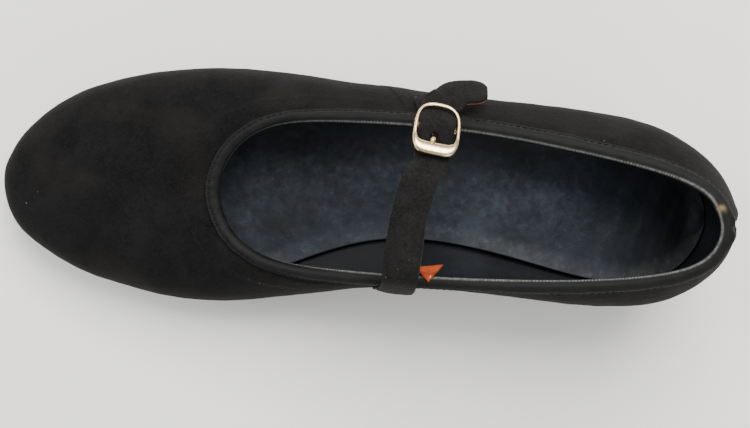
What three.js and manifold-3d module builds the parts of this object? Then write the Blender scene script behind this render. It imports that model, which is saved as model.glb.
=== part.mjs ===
// Right-foot tap shoe, Mary Jane pattern: suede upper with leather topline binding, buckled instep
// strap, lasted bottom, stacked heel, aluminium toe and heel taps.
// Millimetres. Toe towards -X, heel towards +X, outer side of the foot +Y, up +Z. The shoe stands
// on its two taps at Z = 0.
import * as THREE from 'three';
import { mergeVertices } from 'three/addons/utils/BufferGeometryUtils.js';
import Module from 'manifold-3d';

const wasm = await Module();
wasm.setup();

// ------------------------------------------------------------------ driving dimensions
const LENGTH = 249;          // over the upper, toe to back
const BALL_WIDTH = 80;       // over the upper at the ball
const WALL_HEIGHT = 51.5;    // back wall above the sole
const HEEL_SEAT = 30;        // underside of the sole above the floor at the heel
const TOE_SPRING = 6;        // lift of the sole at the toe tip
const SOLE_THICK = 3.2;      // leather outsole
const SUEDE = 1.1;           // outer leather of the upper
const STIFFENER = 0.8;       // toe puff, heel counter, throat tape
const LINING = 0.7;
const MARGIN = 12;           // lasting margin turned under the insole board
const BOARD_THICK = 1.8;     // insole board
const SOCK_THICK = 1.0;      // leather sock lining
const BINDING = 0.7;         // binding leather
const BINDING_LEG = 2.8;     // depth of the binding on each face of the wall
const TAP_THICK = 2.0;       // aluminium plates
const LIFT_THICK = 5.0;      // rubber top lift under the heel
const STRAP_WIDTH = 11.4;
const STRAP_LINING = 0.8;
const GAP = 0.3;             // clearance between touching pieces
const BUCKLE_INNER_END = 11.3; // centre bar to the outside of the wide end
const BUCKLE_OUTER_END = 7.6;  // centre bar to the outside of the narrow end
const BUCKLE_WIDE_BAR = 4.4;
const BUCKLE_WIRE = 1.75;
const BUCKLE_WIDTH = STRAP_WIDTH + 2 * BUCKLE_WIRE + 0.7;  // outside, across the strap
const BAR_RADIUS = 0.8;
const PRONG_RADIUS = 0.75;

const ROUND = 80;            // steps round the shoe
const BALL_X = -0.14;        // where the sole starts to rise to the heel, in lengths
const SEAT_X = 0.30;         // where it reaches the heel seat
const FLAT_X = -0.31;        // where the toe spring starts
const BREAST_X = 0.225;      // front face of the heel
const TAP_REAR_X = -0.235;    // rear edge of the toe tap
const SEAM_X = 0.085;        // side seams at the top line
const STRAP_X = 0.042;       // where the strap is sewn, on the inner side
const BUCKLE_X = 0.089;      // where the buckle's bar crosses the outer top line

// Stations round the shoe from the back seam by the outer side to the toe and back by the inner
// side: sole edge (x, y) and top line (x, y) in percent of length and width, top line height over
// the sole in wall heights, then the fullness of the side: low bulge, rise, reach, top bulge, drop.
const STATIONS = [
  [48.0, -14.4, 43.8, -13.8, 1.00, 7.5, .42, .30, 4.5, .30],
  [45.3, 5.6, 41.3, 2.5, .95, 8.0, .42, .30, 6.0, .30],
  [38.6, 19.5, 34.3, 11.8, .82, 10.0, .42, .30, 8.5, .30],
  [28.5, 24.5, 25.3, 18.8, .71, 12.0, .42, .30, 9.0, .30],
  [15.3, 29.0, 15.3, 25.0, .69, 11.5, .42, .30, 8.5, .30],
  [0.8, 37.0, 4.8, 28.8, .77, 9.0, .42, .35, 7.0, .30],
  [-13.7, 46.3, -4.8, 30.0, .80, 6.5, .42, .40, 6.0, .28],
  [-26.5, 47.8, -12.7, 28.8, .76, 6.5, .45, .44, 5.0, .25],
  [-39.3, 40.2, -17.9, 21.0, .71, 6.5, .50, .49, 3.0, .20],
  [-48.2, 22.0, -20.6, 10.0, .68, 6.0, .55, .51, 1.0, .16],
  [-51.2, 0.0, -21.5, -1.2, .67, 5.5, .58, .52, 0.0, .14],
  [-48.2, -21.5, -20.8, -12.5, .68, 6.0, .55, .51, 1.0, .16],
  [-39.2, -38.8, -18.5, -23.8, .71, 6.5, .50, .49, 3.0, .20],
  [-26.5, -48.8, -13.3, -33.0, .76, 6.5, .45, .44, 5.0, .25],
  [-13.7, -44.0, -5.2, -37.3, .80, 9.0, .42, .38, 6.5, .28],
  [0.8, -28.1, 4.8, -39.0, .77, 15.0, .42, .30, 6.5, .30],
  [15.3, -31.3, 15.3, -39.6, .69, 14.5, .42, .30, 7.0, .30],
  [28.5, -43.1, 25.3, -39.4, .71, 9.5, .42, .30, 7.0, .30],
  [38.6, -46.0, 34.3, -37.0, .82, 7.5, .42, .30, 6.0, .30],
  [45.2, -34.5, 41.3, -30.0, .95, 7.0, .42, .30, 5.0, .30],
];
const PLAN_SHIFT = 1.45;     // percent of length that centres the whole shoe on the origin

// ------------------------------------------------------------------ curves and surfaces
const V = (x, y, z) => new THREE.Vector3(x, y, z);
const UP = V(0, 0, 1);
const lerp = (a, b, f) => a + (b - a) * f;
const clamp01 = (v) => Math.min(1, Math.max(0, v));
const ease = (v) => { const s = clamp01(v); return s * s * s * (s * (6 * s - 15) + 10); };

// One sharpening step, so that the spline runs through the stations.
const centred = STATIONS.map(([a, b, c, ...rest]) => [a + PLAN_SHIFT, b, c + PLAN_SHIFT, ...rest]);
const sharpened = centred.map((row, i) => {
  const a = centred.at(i - 1), b = centred[(i + 1) % centred.length];
  return row.map((v, k) => v + (v - (a[k] + b[k]) / 2) / 3);
});

function station(t) {
  const n = sharpened.length, u = ((t % 1) + 1) % 1 * n, i = Math.floor(u), f = u - i;
  const w = [(1 - f) ** 3, 3 * f ** 3 - 6 * f ** 2 + 4, -3 * f ** 3 + 3 * f ** 2 + 3 * f + 1, f ** 3];
  return sharpened[0].map((_, k) => w.reduce(
    (sum, wj, j) => sum + wj * sharpened[(i + j - 1 + n) % n][k], 0) / 6);
}

// Underside of the outsole above the floor.
function soleUnder(x) {
  const u = x / LENGTH, base = TAP_THICK + GAP;
  const toe = TOE_SPRING * Math.max(0, (FLAT_X - u) / (FLAT_X + 0.5)) ** 2;
  return base + toe + (HEEL_SEAT - base) * ease((u - BALL_X) / (SEAT_X - BALL_X));
}
const soleTop = (x) => soleUnder(x) + SOLE_THICK + GAP;   // where the lasted upper starts

function edgePlan(t) {
  const s = station(t);
  return new THREE.Vector2(s[0] / 100 * LENGTH, s[1] / 100 * BALL_WIDTH);
}
function outward(t) {
  const e = 1e-4, a = edgePlan(t - e), b = edgePlan(t + e), d = b.sub(a).normalize();
  return V(d.y, -d.x, 0);
}
function rib(t) {
  const s = station(t), out = outward(t);
  const edge = V(s[0] / 100 * LENGTH, s[1] / 100 * BALL_WIDTH, 0);
  const top = V(s[2] / 100 * LENGTH, s[3] / 100 * BALL_WIDTH, 0);
  edge.z = soleTop(edge.x);
  top.z = soleTop(top.x) + s[4] * WALL_HEIGHT;
  const rise = top.z - edge.z, back = V(edge.x - top.x, edge.y - top.y, 0);
  const low = edge.clone().addScaledVector(out, s[5]).addScaledVector(UP, s[6] * rise);
  const high = top.clone().addScaledVector(back, s[7]).addScaledVector(out, s[8])
    .addScaledVector(UP, -s[9] * rise);
  return [edge, low, high, top];
}
function onRib(p, h) {
  const g = 1 - h, q = V(0, 0, 0);
  return q.addScaledVector(p[0], g ** 3).addScaledVector(p[1], 3 * g * g * h)
    .addScaledVector(p[2], 3 * g * h * h).addScaledVector(p[3], h ** 3);
}
// Outer skin of the upper and its outward normal, at t round the shoe and h up the wall.
const ORIENT = (() => {                     // sign that makes the normal at the toe point to -X
  const a = onRib(rib(.5), .1), b = onRib(rib(.5001), .1), c = onRib(rib(.5), .101);
  return Math.sign(-b.sub(a).cross(c.sub(a)).x);
})();
function skin(t, h) {
  const e = 1e-3, p = onRib(rib(t), h), h0 = Math.max(0, h - e), h1 = Math.min(1, h + e);
  const dh = onRib(rib(t), h1).sub(onRib(rib(t), h0));
  const dt = onRib(rib(t + e), h).sub(onRib(rib(t - e), h));
  return { p, n: dt.cross(dh).normalize().multiplyScalar(ORIENT) };
}
// h at a distance s down the wall from the top line.
const RIB_STEPS = 60;
function ribLengths(t) {
  const r = rib(t), acc = [0];
  let last = r[3];
  for (let k = 1; k <= RIB_STEPS; k++) {
    const q = onRib(r, 1 - k / RIB_STEPS);
    acc.push(acc[k - 1] + q.distanceTo(last));
    last = q;
  }
  return acc;
}
function hDown(t, s, acc = ribLengths(t)) {
  let k = 1;
  while (k < RIB_STEPS && acc[k] < s) k++;
  return 1 - (k - 1 + clamp01((s - acc[k - 1]) / (acc[k] - acc[k - 1]))) / RIB_STEPS;
}
const down = (t, s) => skin(t, hDown(t, s));
const offset = ({ p, n }, d) => p.clone().addScaledVector(n, d);

// ------------------------------------------------------------------ mesh builders
function solid(points, faces) {
  const geo = new THREE.BufferGeometry();
  geo.setAttribute('position', new THREE.Float32BufferAttribute(points.flatMap((p) => [p.x, p.y, p.z]), 3));
  const ok = faces.filter(([a, b, c]) => points[a].distanceTo(points[b]) > 1e-4
    && points[b].distanceTo(points[c]) > 1e-4 && points[c].distanceTo(points[a]) > 1e-4);
  let volume = 0;
  for (const [a, b, c] of ok) volume += points[a].dot(points[b].clone().cross(points[c]));
  geo.setIndex((volume < 0 ? ok.map(([a, b, c]) => [a, c, b]) : ok).flat());
  return mergeVertices(geo, 1e-4);
}
// A closed loop section carried along stations: grid[i][j], closed in j, and closed in i if ring.
function loopSweep(grid, ring) {
  const n = grid.length, m = grid[0].length, faces = [];
  for (let i = 0; i < (ring ? n : n - 1); i++) {
    for (let j = 0; j < m; j++) {
      const next = ((i + 1) % n) * m, turn = (j + 1) % m;
      const a = i * m + j, b = i * m + turn, c = next + j, d = next + turn;
      faces.push([a, b, d], [a, d, c]);
    }
  }
  if (!ring) for (const [i, flip] of [[0, true], [n - 1, false]]) faces.push(...pairCap(i * m, m, flip));
  return solid(grid.flat(), faces);
}
// Cap of a loop whose points lie in pairs (j, m - 1 - j).
function pairCap(start, m, flip) {
  const faces = [];
  for (let j = 0; j < m / 2 - 1; j++) {
    const a = start + j, b = start + j + 1, c = start + m - 2 - j, d = start + m - 1 - j;
    faces.push(flip ? [a, c, b] : [a, b, c], flip ? [a, d, c] : [a, c, d]);
  }
  return faces;
}
// A piece of the upper: its section at each t is an outer line and an inner line of equal count.
function wallPiece(section, from, to) {
  const ring = to - from >= 1, ts = [from];
  for (let k = Math.ceil(from * ROUND + 1e-6); k < to * ROUND - 1e-6; k++) ts.push(k / ROUND);
  if (!ring) ts.push(to);
  const near = (i, j) => Math.abs(ts[i] - ts[j]) < 0.25 / ROUND;
  const kept = ts.filter((_, i) => !(i === 1 && near(0, 1)) && !(i === ts.length - 2 && near(i, i + 1)));
  const loops = kept.map((t) => {
    const { outer, inner } = section(t);
    return [...outer, ...inner.reverse()];
  });
  return loopSweep(loops, ring);
}
// A flat-lying plate: its outline at each step is a pair of points, one on each side.
function plate(pairs, under, over) {
  const rings = [under, over].map((z) => [...pairs.map((p) => p[0]), ...pairs.map((p) => p[1]).reverse()]
    .map((q) => V(q.x, q.y, z(q.x))));
  return loopSweep(rings, false);
}
// Pairs across the sole from t = from (near the back) to t = to (near the toe), inset from the edge.
function acrossSole(from, to, inset, steps) {
  const pairs = [];
  for (let k = 0; k <= steps; k++) {
    const t = lerp(from, to, k / steps);
    pairs.push([t, 1 - t].map((s) => {
      const e = edgePlan(s), o = outward(s);
      return new THREE.Vector2(e.x - o.x * inset, e.y - o.y * inset);
    }));
  }
  return pairs;
}
// t at which the sole edge on the outer side passes x.
function edgeAt(x) {
  let a = 0.001, b = 0.499;
  for (let k = 0; k < 40; k++) { const m = (a + b) / 2; if (edgePlan(m).x > x) a = m; else b = m; }
  return a;
}
// t at which the top line passes x, on the outer or the inner side.
function topAt(x, inner) {
  let a = 0.02, b = 0.48;
  for (let k = 0; k < 40; k++) {
    const m = (a + b) / 2;
    if (rib(inner ? 1 - m : m)[3].x > x) a = m; else b = m;
  }
  return inner ? 1 - a : a;
}
// Cuts a pair list square at x.
function cutPairs(pairs, x, keepBelow) {
  const kept = pairs.filter(([p, q]) => (keepBelow ? (p.x + q.x) / 2 <= x : (p.x + q.x) / 2 >= x));
  const end = keepBelow ? kept[0] : kept.at(-1);
  end.forEach((p) => { p.x = x; });
  return kept;
}

const toManifold = (geometry) => {
  const g = geometry.clone();
  g.deleteAttribute('normal');
  g.deleteAttribute('uv');
  const m = mergeVertices(g, 1e-4);
  return new wasm.Manifold(new wasm.Mesh({
    numProp: 3, vertProperties: new Float32Array(m.attributes.position.array),
    triVerts: new Uint32Array(m.index.array) }));
};
function fromManifold(body) {
  const mesh = body.getMesh(), geo = new THREE.BufferGeometry();
  geo.setAttribute('position', new THREE.BufferAttribute(new Float32Array(mesh.vertProperties), 3));
  geo.setIndex(new THREE.BufferAttribute(new Uint32Array(mesh.triVerts), 1));
  return geo;
}
const cut = (geometry, tools) => fromManifold(
  tools.reduce((body, tool) => body.subtract(toManifold(tool)), toManifold(geometry)));
const join = (list) => fromManifold(
  list.slice(1).reduce((body, g) => body.add(toManifold(g)), toManifold(list[0])));

// Turned piece about +Z from [radius, height] points, then placed.
function turned(profile, matrix, sides = 12) {
  const geo = new THREE.LatheGeometry(profile.map(([r, z]) => new THREE.Vector2(r, z)), sides);
  geo.rotateX(Math.PI / 2);
  geo.deleteAttribute('uv'); geo.deleteAttribute('normal');
  geo.applyMatrix4(matrix);
  return mergeVertices(geo, 1e-4);
}
const at = (x, y, z, tilt = 0) => new THREE.Matrix4().makeTranslation(x, y, z)
  .multiply(new THREE.Matrix4().makeRotationY(tilt));

// ------------------------------------------------------------------ the upper
const DEPTH_LOW = SUEDE + GAP + STIFFENER + GAP;  // lining behind the stiffeners
const DEPTH_TOP = SUEDE + GAP;                    // lining under the binding
const WALL_TOP = SUEDE + GAP + LINING;
const STEP_FROM = 4.6, STEP_TO = 5.9;             // where the lining closes up, below the top line
const ROWS = 9;
const LAST_ROW = 0.92;                            // of the wall's length, above the turned-in foot

// Rows down the wall, the same for every layer so that the layers stay parallel.
function wallRows(t, first = 0) {
  const acc = ribLengths(t), list = [0, 2.2, STEP_FROM, STEP_TO];
  for (let k = 1; k <= ROWS; k++) list.push(lerp(STEP_TO, acc.at(-1) * LAST_ROW, k / ROWS));
  return list.slice(first).reverse().map((s) => ({ s, at: skin(t, hDown(t, s, acc)) }));
}
function foot(t, depth, lift) {
  const e = edgePlan(t), o = outward(t), x = e.x - o.x * depth, y = e.y - o.y * depth;
  return V(x, y, soleTop(x) + lift);
}
function suedeSection(t) {
  const rows = wallRows(t);
  const turn = [MARGIN, MARGIN / 2];
  return {
    outer: [...turn.map((d) => foot(t, d, 0)), foot(t, 0, 0), ...rows.map((r) => offset(r.at, 0))],
    inner: [...turn.map((d) => foot(t, d, SUEDE)), foot(t, SUEDE, SUEDE),
      ...rows.map((r) => offset(r.at, -SUEDE))],
  };
}
function liningSection(t) {
  const rows = wallRows(t);
  const depth = (s) => lerp(DEPTH_TOP, DEPTH_LOW, clamp01((s - STEP_FROM) / (STEP_TO - STEP_FROM)));
  const lift = SUEDE + GAP;
  return {
    outer: [foot(t, DEPTH_LOW, lift), ...rows.map((r) => offset(r.at, -depth(r.s)))],
    inner: [foot(t, DEPTH_LOW + LINING, lift), ...rows.map((r) => offset(r.at, -depth(r.s) - LINING))],
  };
}
function stiffener(firstRow) {
  return (t) => {
    const rows = wallRows(t, firstRow), lift = SUEDE + GAP, d = SUEDE + GAP;
    return {
      outer: [foot(t, d, lift), ...rows.map((r) => offset(r.at, -d))],
      inner: [foot(t, d + STIFFENER, lift), ...rows.map((r) => offset(r.at, -d - STIFFENER))],
    };
  };
}
function tapeSection(t) {
  const d = SUEDE + GAP, rows = [11.5, 9.2, 6.6].map((s) => down(t, s));
  return { outer: rows.map((r) => offset(r, -d)), inner: rows.map((r) => offset(r, -d - STIFFENER)) };
}
function bindingSection(t) {
  const near = GAP, far = GAP + BINDING, legs = [BINDING_LEG, 1.5, 0.2].map((s) => down(t, s));
  const top = down(t, 0), up = top.p.clone().sub(down(t, 1).p).normalize();
  const mid = offset(top, -WALL_TOP / 2).addScaledVector(up, -0.3);
  const arc = (r) => [150, 120, 90, 60, 30].map((a) => a * Math.PI / 180).map((a) => mid.clone()
    .addScaledVector(top.n, -r * Math.cos(a)).addScaledVector(up, r * Math.sin(a)));
  const half = WALL_TOP / 2;
  const face = (d) => [...legs.map((q) => offset(q, d)), ...arc(half + d),
    ...legs.map((q) => offset(q, -WALL_TOP - d)).reverse()];
  return { outer: face(far), inner: face(near) };
}
const SEAM_GAP = 0.16 / 430;      // half a seam's clearance, round the shoe
const side = SEAM_GAP * 1.2;
const SEAM_OUT = topAt(SEAM_X * LENGTH, false), SEAM_IN = topAt(SEAM_X * LENGTH, true);

// ------------------------------------------------------------------ the bottom
const layer = (from) => (x) => soleTop(x) + from;
const boardFrom = SUEDE + GAP, boardTo = boardFrom + BOARD_THICK;
const wallInset = DEPTH_LOW + LINING + GAP;
const soleSteps = 40;
const breastX = BREAST_X * LENGTH, tapRearX = TAP_REAR_X * LENGTH;

const solePairs = acrossSole(0.0005, 0.4995, -0.6, soleSteps);
const heelSteps = 16;
// The heel's plan at a level: the sole edge from the back to the breast, drawn in towards the floor.
function heelRing(draw, z) {
  const tb = edgeAt(breastX), pairs = [];
  for (let k = 0; k <= heelSteps; k++) {
    const t = lerp(0.0005, tb, k / heelSteps);
    pairs.push([t, 1 - t].map((s) => {
      const e = edgePlan(s), o = outward(s);
      return new THREE.Vector2(e.x - o.x * draw, e.y - o.y * draw);
    }));
  }
  pairs.at(-1).forEach((p) => { p.x = breastX + draw * 0.9; });
  return [...pairs.map((p) => p[0]), ...pairs.map((p) => p[1]).reverse()].map((q) => V(q.x, q.y, z(q.x)));
}
const liftFrom = TAP_THICK + GAP, blockFrom = liftFrom + LIFT_THICK + GAP;
const HEEL_DRAW = 5.2;
const heelLevel = (f) => {
  const draw = HEEL_DRAW * (1 - f) ** 0.7 + 0.2;
  return heelRing(draw, (x) => lerp(blockFrom, soleUnder(x) - GAP, f));
};

// ------------------------------------------------------------------ fasteners
const SCREW = { head: 3.1, cone: 1.5, core: 1.25 };
const screwProfile = (length, grow) => {
  const r0 = SCREW.head + grow, r1 = SCREW.core + grow, end = length + grow;
  return [[0, grow ? -1 : 0], [r0, grow ? -1 : 0], [r0, 0.25], [r1, SCREW.cone + 0.25], [r1, end - 0.8],
    [0, end]];
};
const slope = (x) => Math.atan((soleUnder(x + 1) - soleUnder(x - 1)) / 2);
const screwAt = (x, y) => at(x, y, soleUnder(x) - GAP - TAP_THICK + 0.15, -slope(x));
const toeScrews = [['toe_tap_screw_front', -0.435, 0], ['toe_tap_screw_outer', -0.28, 0.3],
  ['toe_tap_screw_inner', -0.28, -0.3]].map(([name, u, v]) => (
  { name, place: screwAt(u * LENGTH, v * BALL_WIDTH), length: 4.3 }));
const heelScrews = [['heel_tap_screw_back', 0.43, -0.14], ['heel_tap_screw_outer', 0.29, 0.08],
  ['heel_tap_screw_inner', 0.29, -0.32]].map(([name, u, v]) => (
  { name, place: at(u * LENGTH, v * BALL_WIDTH, 0.15), length: 13 }));
const holesFor = (list) => list.map((s) => turned(screwProfile(s.length, GAP), s.place));

const NAIL_LENGTH = 17;
const nailProfile = (grow) => [[0, -NAIL_LENGTH - grow], [0.8 + grow, 1.5 - NAIL_LENGTH - grow],
  [0.8 + grow, -0.4 - grow], [1.9 + grow, -grow], [1.9 + grow, 0.6 + grow], [0, 0.6 + grow]];
const nails = [[0.375, 0.01], [0.375, -0.29], [0.405, -0.14], [0.285, -0.12]].map(([u, v], k) => ({
  name: `heel_nail_${k + 1}`,
  place: at(u * LENGTH, v * BALL_WIDTH, soleTop(u * LENGTH) + boardTo - 0.75) }));
const nailHoles = nails.map((s) => turned(nailProfile(GAP), s.place));

// ------------------------------------------------------------------ strap and buckle
const STRAP_T = topAt(STRAP_X * LENGTH, true);
const strapStack = SUEDE + GAP + STRAP_LINING;
const TAB_T = topAt(BUCKLE_X * LENGTH, false);
const TAB_THICK = 0.7, TAB_HALF = 4.2;
const BAR = rib(TAB_T)[3].add(V(0, -0.6, 8.5));
const TILT = 27 * Math.PI / 180, SKEW = 0.2;
const alongV = V(-SKEW * Math.cos(TILT), -Math.sqrt(1 - SKEW ** 2) * Math.cos(TILT), Math.sin(TILT));
const acrossU = V(Math.sqrt(1 - SKEW ** 2), -SKEW, 0);
const outW = acrossU.clone().cross(alongV).multiplyScalar(-1).normalize();
if (outW.z < 0) outW.negate();
const local = (u, v, w) => BAR.clone().addScaledVector(acrossU, u).addScaledVector(alongV, v)
  .addScaledVector(outW, w);

const BAR_DROP = -3.5;
const overBar = BAR_DROP + BAR_RADIUS + GAP + TAB_THICK + GAP + strapStack / 2;
const underFrame = -1.0 - 1.0 - strapStack / 2;
const base = (s) => offset(down(STRAP_T, s), GAP + BINDING + GAP + strapStack / 2);
const span = (dx, along, h) => V(lerp(base(1).x, BAR.x, along) + dx,
  lerp(base(1).y, BAR.y, along), BAR.z + h);
const beside = (x, y, z) => BAR.clone().add(V(x, y, z));
const strapLine = new THREE.CatmullRomCurve3([
  base(5.5), base(1.0).addScaledVector(UP, 0.8), span(-1.2, 0.10, 0.4), span(-2.6, 0.28, 5.0),
  span(-3.6, 0.48, 7.4), span(-2.6, 0.68, 6.6),
  local(0, BUCKLE_INNER_END + 1.5, underFrame - 0.2), local(0, BUCKLE_INNER_END - 2.8, underFrame),
  local(0, 4.6, underFrame + 1.5), local(0, 0, overBar), local(0, -3.6, underFrame + 1.4),
  local(0, -BUCKLE_OUTER_END + 0.4, underFrame),
  beside(2.4, 8.6, -7.8), beside(6.6, 11.0, -9.6), beside(12.0, 11.6, -10.2), beside(17.0, 10.8, -10.0),
], false, 'centripetal');
const anchorLine = new THREE.CatmullRomCurve3(
  [base(19), base(14), base(9.5), base(6.2)], false, 'centripetal');
const topTangent = down(STRAP_T - 0.01, 0).p.sub(down(STRAP_T + 0.01, 0).p).normalize();
if (topTangent.x < 0) topTangent.negate();

// The tail turns back along the quarter and lies against its slope.
const TAIL_ACROSS = V(0.20, -0.60, 0.775), TAIL_FROM = 0.80, TAIL_TO = 0.96;

// Frames along a strap line: the width direction goes from the top line's to the buckle's, and then
// to the tail's.
function ribbonFrames(line, steps, from = 0, to = 1, turnFrom = 0.1, turnTo = 0.55) {
  const list = [];
  for (let k = 0; k <= steps; k++) {
    const f = lerp(from, to, k / steps), p = line.getPointAt(f), dir = line.getTangentAt(f);
    const wide = topTangent.clone().lerp(acrossU, ease((f - turnFrom) / (turnTo - turnFrom)))
      .lerp(TAIL_ACROSS, turnTo < 1 ? ease((f - TAIL_FROM) / (TAIL_TO - TAIL_FROM)) : 0);
    wide.addScaledVector(dir, -wide.dot(dir)).normalize();
    list.push({ p, wide, up: wide.clone().cross(dir).normalize() });
  }
  return list;
}
function ribbon(frames, width, low, high, roundEnd = 0) {
  const n = frames.length;
  return loopSweep(frames.map(({ p, wide, up }, i) => {
    const left = (n - 1 - i) / (n - 1);
    const narrow = roundEnd && left < roundEnd ? Math.sqrt(Math.max(0.12, 1 - (1 - left / roundEnd) ** 2)) : 1;
    const half = width / 2 * narrow;
    const q = (a, b) => p.clone().addScaledVector(wide, a).addScaledVector(up, b);
    return [q(-half, low), q(0, low), q(half, low), q(half, high), q(0, high), q(-half, high)];
  }), false);
}
const strapFrames = ribbonFrames(strapLine, 46);
const anchorFrames = ribbonFrames(anchorLine, 6, 0, 1, 2, 3);
const boxAt = (u0, u1, v0, v1, w0, w1) => {
  const geo = new THREE.BoxGeometry(u1 - u0, v1 - v0, w1 - w0);
  geo.deleteAttribute('uv'); geo.deleteAttribute('normal');
  const m = new THREE.Matrix4().makeBasis(acrossU, alongV, acrossU.clone().cross(alongV));
  geo.applyMatrix4(m);
  const c = local((u0 + u1) / 2, (v0 + v1) / 2, (w0 + w1) / 2);
  geo.translate(c.x, c.y, c.z);
  return mergeVertices(geo, 1e-4);
};
const lowFace = -strapStack / 2, midFace = lowFace + STRAP_LINING;
const eyelet = boxAt(-1.35, 1.35, -2.4, 4.2, -6, 6);
const strapGeo = cut(ribbon(strapFrames, STRAP_WIDTH, midFace + GAP, strapStack / 2, 0.06), [eyelet]);
const strapLiningGeo = cut(ribbon(strapFrames, STRAP_WIDTH - 1.4, lowFace, midFace, 0.06), [eyelet]);

// Buckle frame: a rounded rectangle with one wide domed end, in the buckle's own directions.
function buckleSection(angle) {
  const c = Math.cos(angle), s = Math.sin(angle), n = 5;
  const half = BUCKLE_WIDTH / 2, mid = (BUCKLE_INNER_END - BUCKLE_OUTER_END) / 2;
  const long = (BUCKLE_INNER_END + BUCKLE_OUTER_END) / 2;
  const r = 1 / ((Math.abs(c) ** n + Math.abs(s) ** n) ** (1 / n));
  const outerU = half * c * r, outerV = mid + long * s * r;
  const hu = half - BUCKLE_WIRE, v0 = -BUCKLE_OUTER_END + BUCKLE_WIRE;
  const v1 = BUCKLE_INNER_END - BUCKLE_WIDE_BAR;
  const innerU = hu * c * r, innerV = (v0 + v1) / 2 + (v1 - v0) / 2 * s * r;
  const w = 1.0;
  const q = (f, z) => local(lerp(innerU, outerU, f), lerp(innerV, outerV, f), z);
  return [q(0, -w * 0.6), q(0, w * 0.5), q(0.3, w), q(0.7, w),
    q(1, w * 0.5), q(1, -w * 0.6), q(0.7, -w), q(0.3, -w)];
}
const buckleSteps = Array.from({ length: 40 }, (_, k) => k / 40 * 2 * Math.PI);
const buckleRing = loopSweep(buckleSteps.map(buckleSection), true);
const rod = (a, b, r, sides = 10) => {
  const d = b.clone().sub(a), geo = new THREE.CylinderGeometry(r, r, d.length(), sides);
  geo.deleteAttribute('uv'); geo.deleteAttribute('normal');
  geo.applyQuaternion(new THREE.Quaternion().setFromUnitVectors(V(0, 1, 0), d.clone().normalize()));
  const m = a.clone().add(b).multiplyScalar(0.5);
  geo.translate(m.x, m.y, m.z);
  return mergeVertices(geo, 1e-4);
};
const post = BUCKLE_WIDTH / 2 - BUCKLE_WIRE / 2;
// The centre bar hangs on two short legs, so the frame, legs and bar are one casting.
const leg = (u) => rod(local(u, 0, BAR_DROP - 0.6), local(u, 0, 0.3), BAR_RADIUS);
const buckleGeo = join([buckleRing, rod(local(-post, 0, BAR_DROP), local(post, 0, BAR_DROP), BAR_RADIUS),
  leg(-post), leg(post)]);

// Prong: an eye round the bar and a tongue that rises through the strap and rests on the wide end.
const eye = (() => {
  const rIn = BAR_RADIUS + 0.25, rOut = rIn + 0.75, hw = 0.9, n = 14;
  return loopSweep(Array.from({ length: n }, (_, k) => {
    const a = k / n * 2 * Math.PI, q = (u, r) => local(u, r * Math.cos(a), BAR_DROP + r * Math.sin(a));
    return [q(-hw, rIn), q(hw, rIn), q(hw, rOut), q(-hw, rOut)];
  }), true);
})();
const tongueLine = new THREE.CatmullRomCurve3([local(0, 0.9, BAR_DROP + 1.2), local(0, 2.3, 0.4),
  local(0, 4.4, 1.7), local(0, 7.2, 1.95), local(0, BUCKLE_INNER_END - 1.2, 1.85)], false, 'centripetal');
const tongue = (() => {
  const steps = 12, sides = 8;
  return loopSweep(Array.from({ length: steps + 1 }, (_, k) => {
    const p = tongueLine.getPointAt(k / steps), d = tongueLine.getTangentAt(k / steps);
    const e = acrossU.clone().cross(d).normalize(), r = PRONG_RADIUS * (k === steps ? 0.55 : 1);
    return Array.from({ length: sides }, (_, j) => {
      const a = (j + 0.5) / sides * 2 * Math.PI;
      return p.clone().addScaledVector(acrossU, r * Math.cos(a)).addScaledVector(e, r * Math.sin(a));
    });
  }), false);
})();
const prongGeo = join([eye, tongue]);

// Buckle tab: two ears round the bar, joined below, sewn flat to the outer quarter.
const tabFoot = (s) => offset(down(TAB_T, s), GAP + BINDING + GAP + TAB_THICK / 2);
const alongTop = down(TAB_T - 0.01, 9).p.sub(down(TAB_T + 0.01, 9).p).normalize();
function tabStrip(points) {
  const line = new THREE.CatmullRomCurve3(points, false, 'centripetal'), steps = 18, rows = [];
  for (let k = 0; k <= steps; k++) {
    const p = line.getPointAt(k / steps), d = line.getTangentAt(k / steps);
    const wide = acrossU.clone().lerp(alongTop, ease(k / steps / 0.5));
    wide.addScaledVector(d, -wide.dot(d)).normalize();
    const e = wide.clone().cross(d).normalize();
    const q = (u, w) => p.clone().addScaledVector(wide, u).addScaledVector(e, w);
    const th = TAB_THICK / 2;
    rows.push([q(-TAB_HALF, -th), q(TAB_HALF, -th), q(TAB_HALF, th), q(-TAB_HALF, th)]);
  }
  return loopSweep(rows, false);
}
const sleeve = (u0, u1) => {
  const rIn = BAR_RADIUS + GAP, rOut = rIn + TAB_THICK, n = 16;
  return loopSweep(Array.from({ length: n }, (_, k) => {
    const a = k / n * 2 * Math.PI, q = (u, r) => local(u, r * Math.cos(a), BAR_DROP + r * Math.sin(a));
    return [q(u0, rIn), q(u1, rIn), q(u1, rOut), q(u0, rOut)];
  }), true);
};

// ------------------------------------------------------------------ materials and nodes
const finish = (color, roughness, metalness = 0) => (
  new THREE.MeshStandardMaterial({ color, roughness, metalness }));
const suede = finish(0x201f21, 0.95), bindingLeather = finish(0x17181a, 0.42);
const lining = finish(0x1b1d22, 0.8);
const insole = finish(0x2a3138, 0.5), tan = finish(0xb8682f, 0.7), board = finish(0x9a8468, 0.9);
const cork = finish(0x9b7347, 0.95), steel = finish(0x8b8d90, 0.35, 1), alu = finish(0xb9bcc0, 0.3, 1);
const gold = finish(0xcdb27a, 0.28, 1), soleLeather = finish(0x2b2421, 0.6);
const heelStack = finish(0x1c1a1a, 0.5);
const rubber = finish(0x1d1d1e, 0.85), felt = finish(0x3a3733, 0.95);

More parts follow.
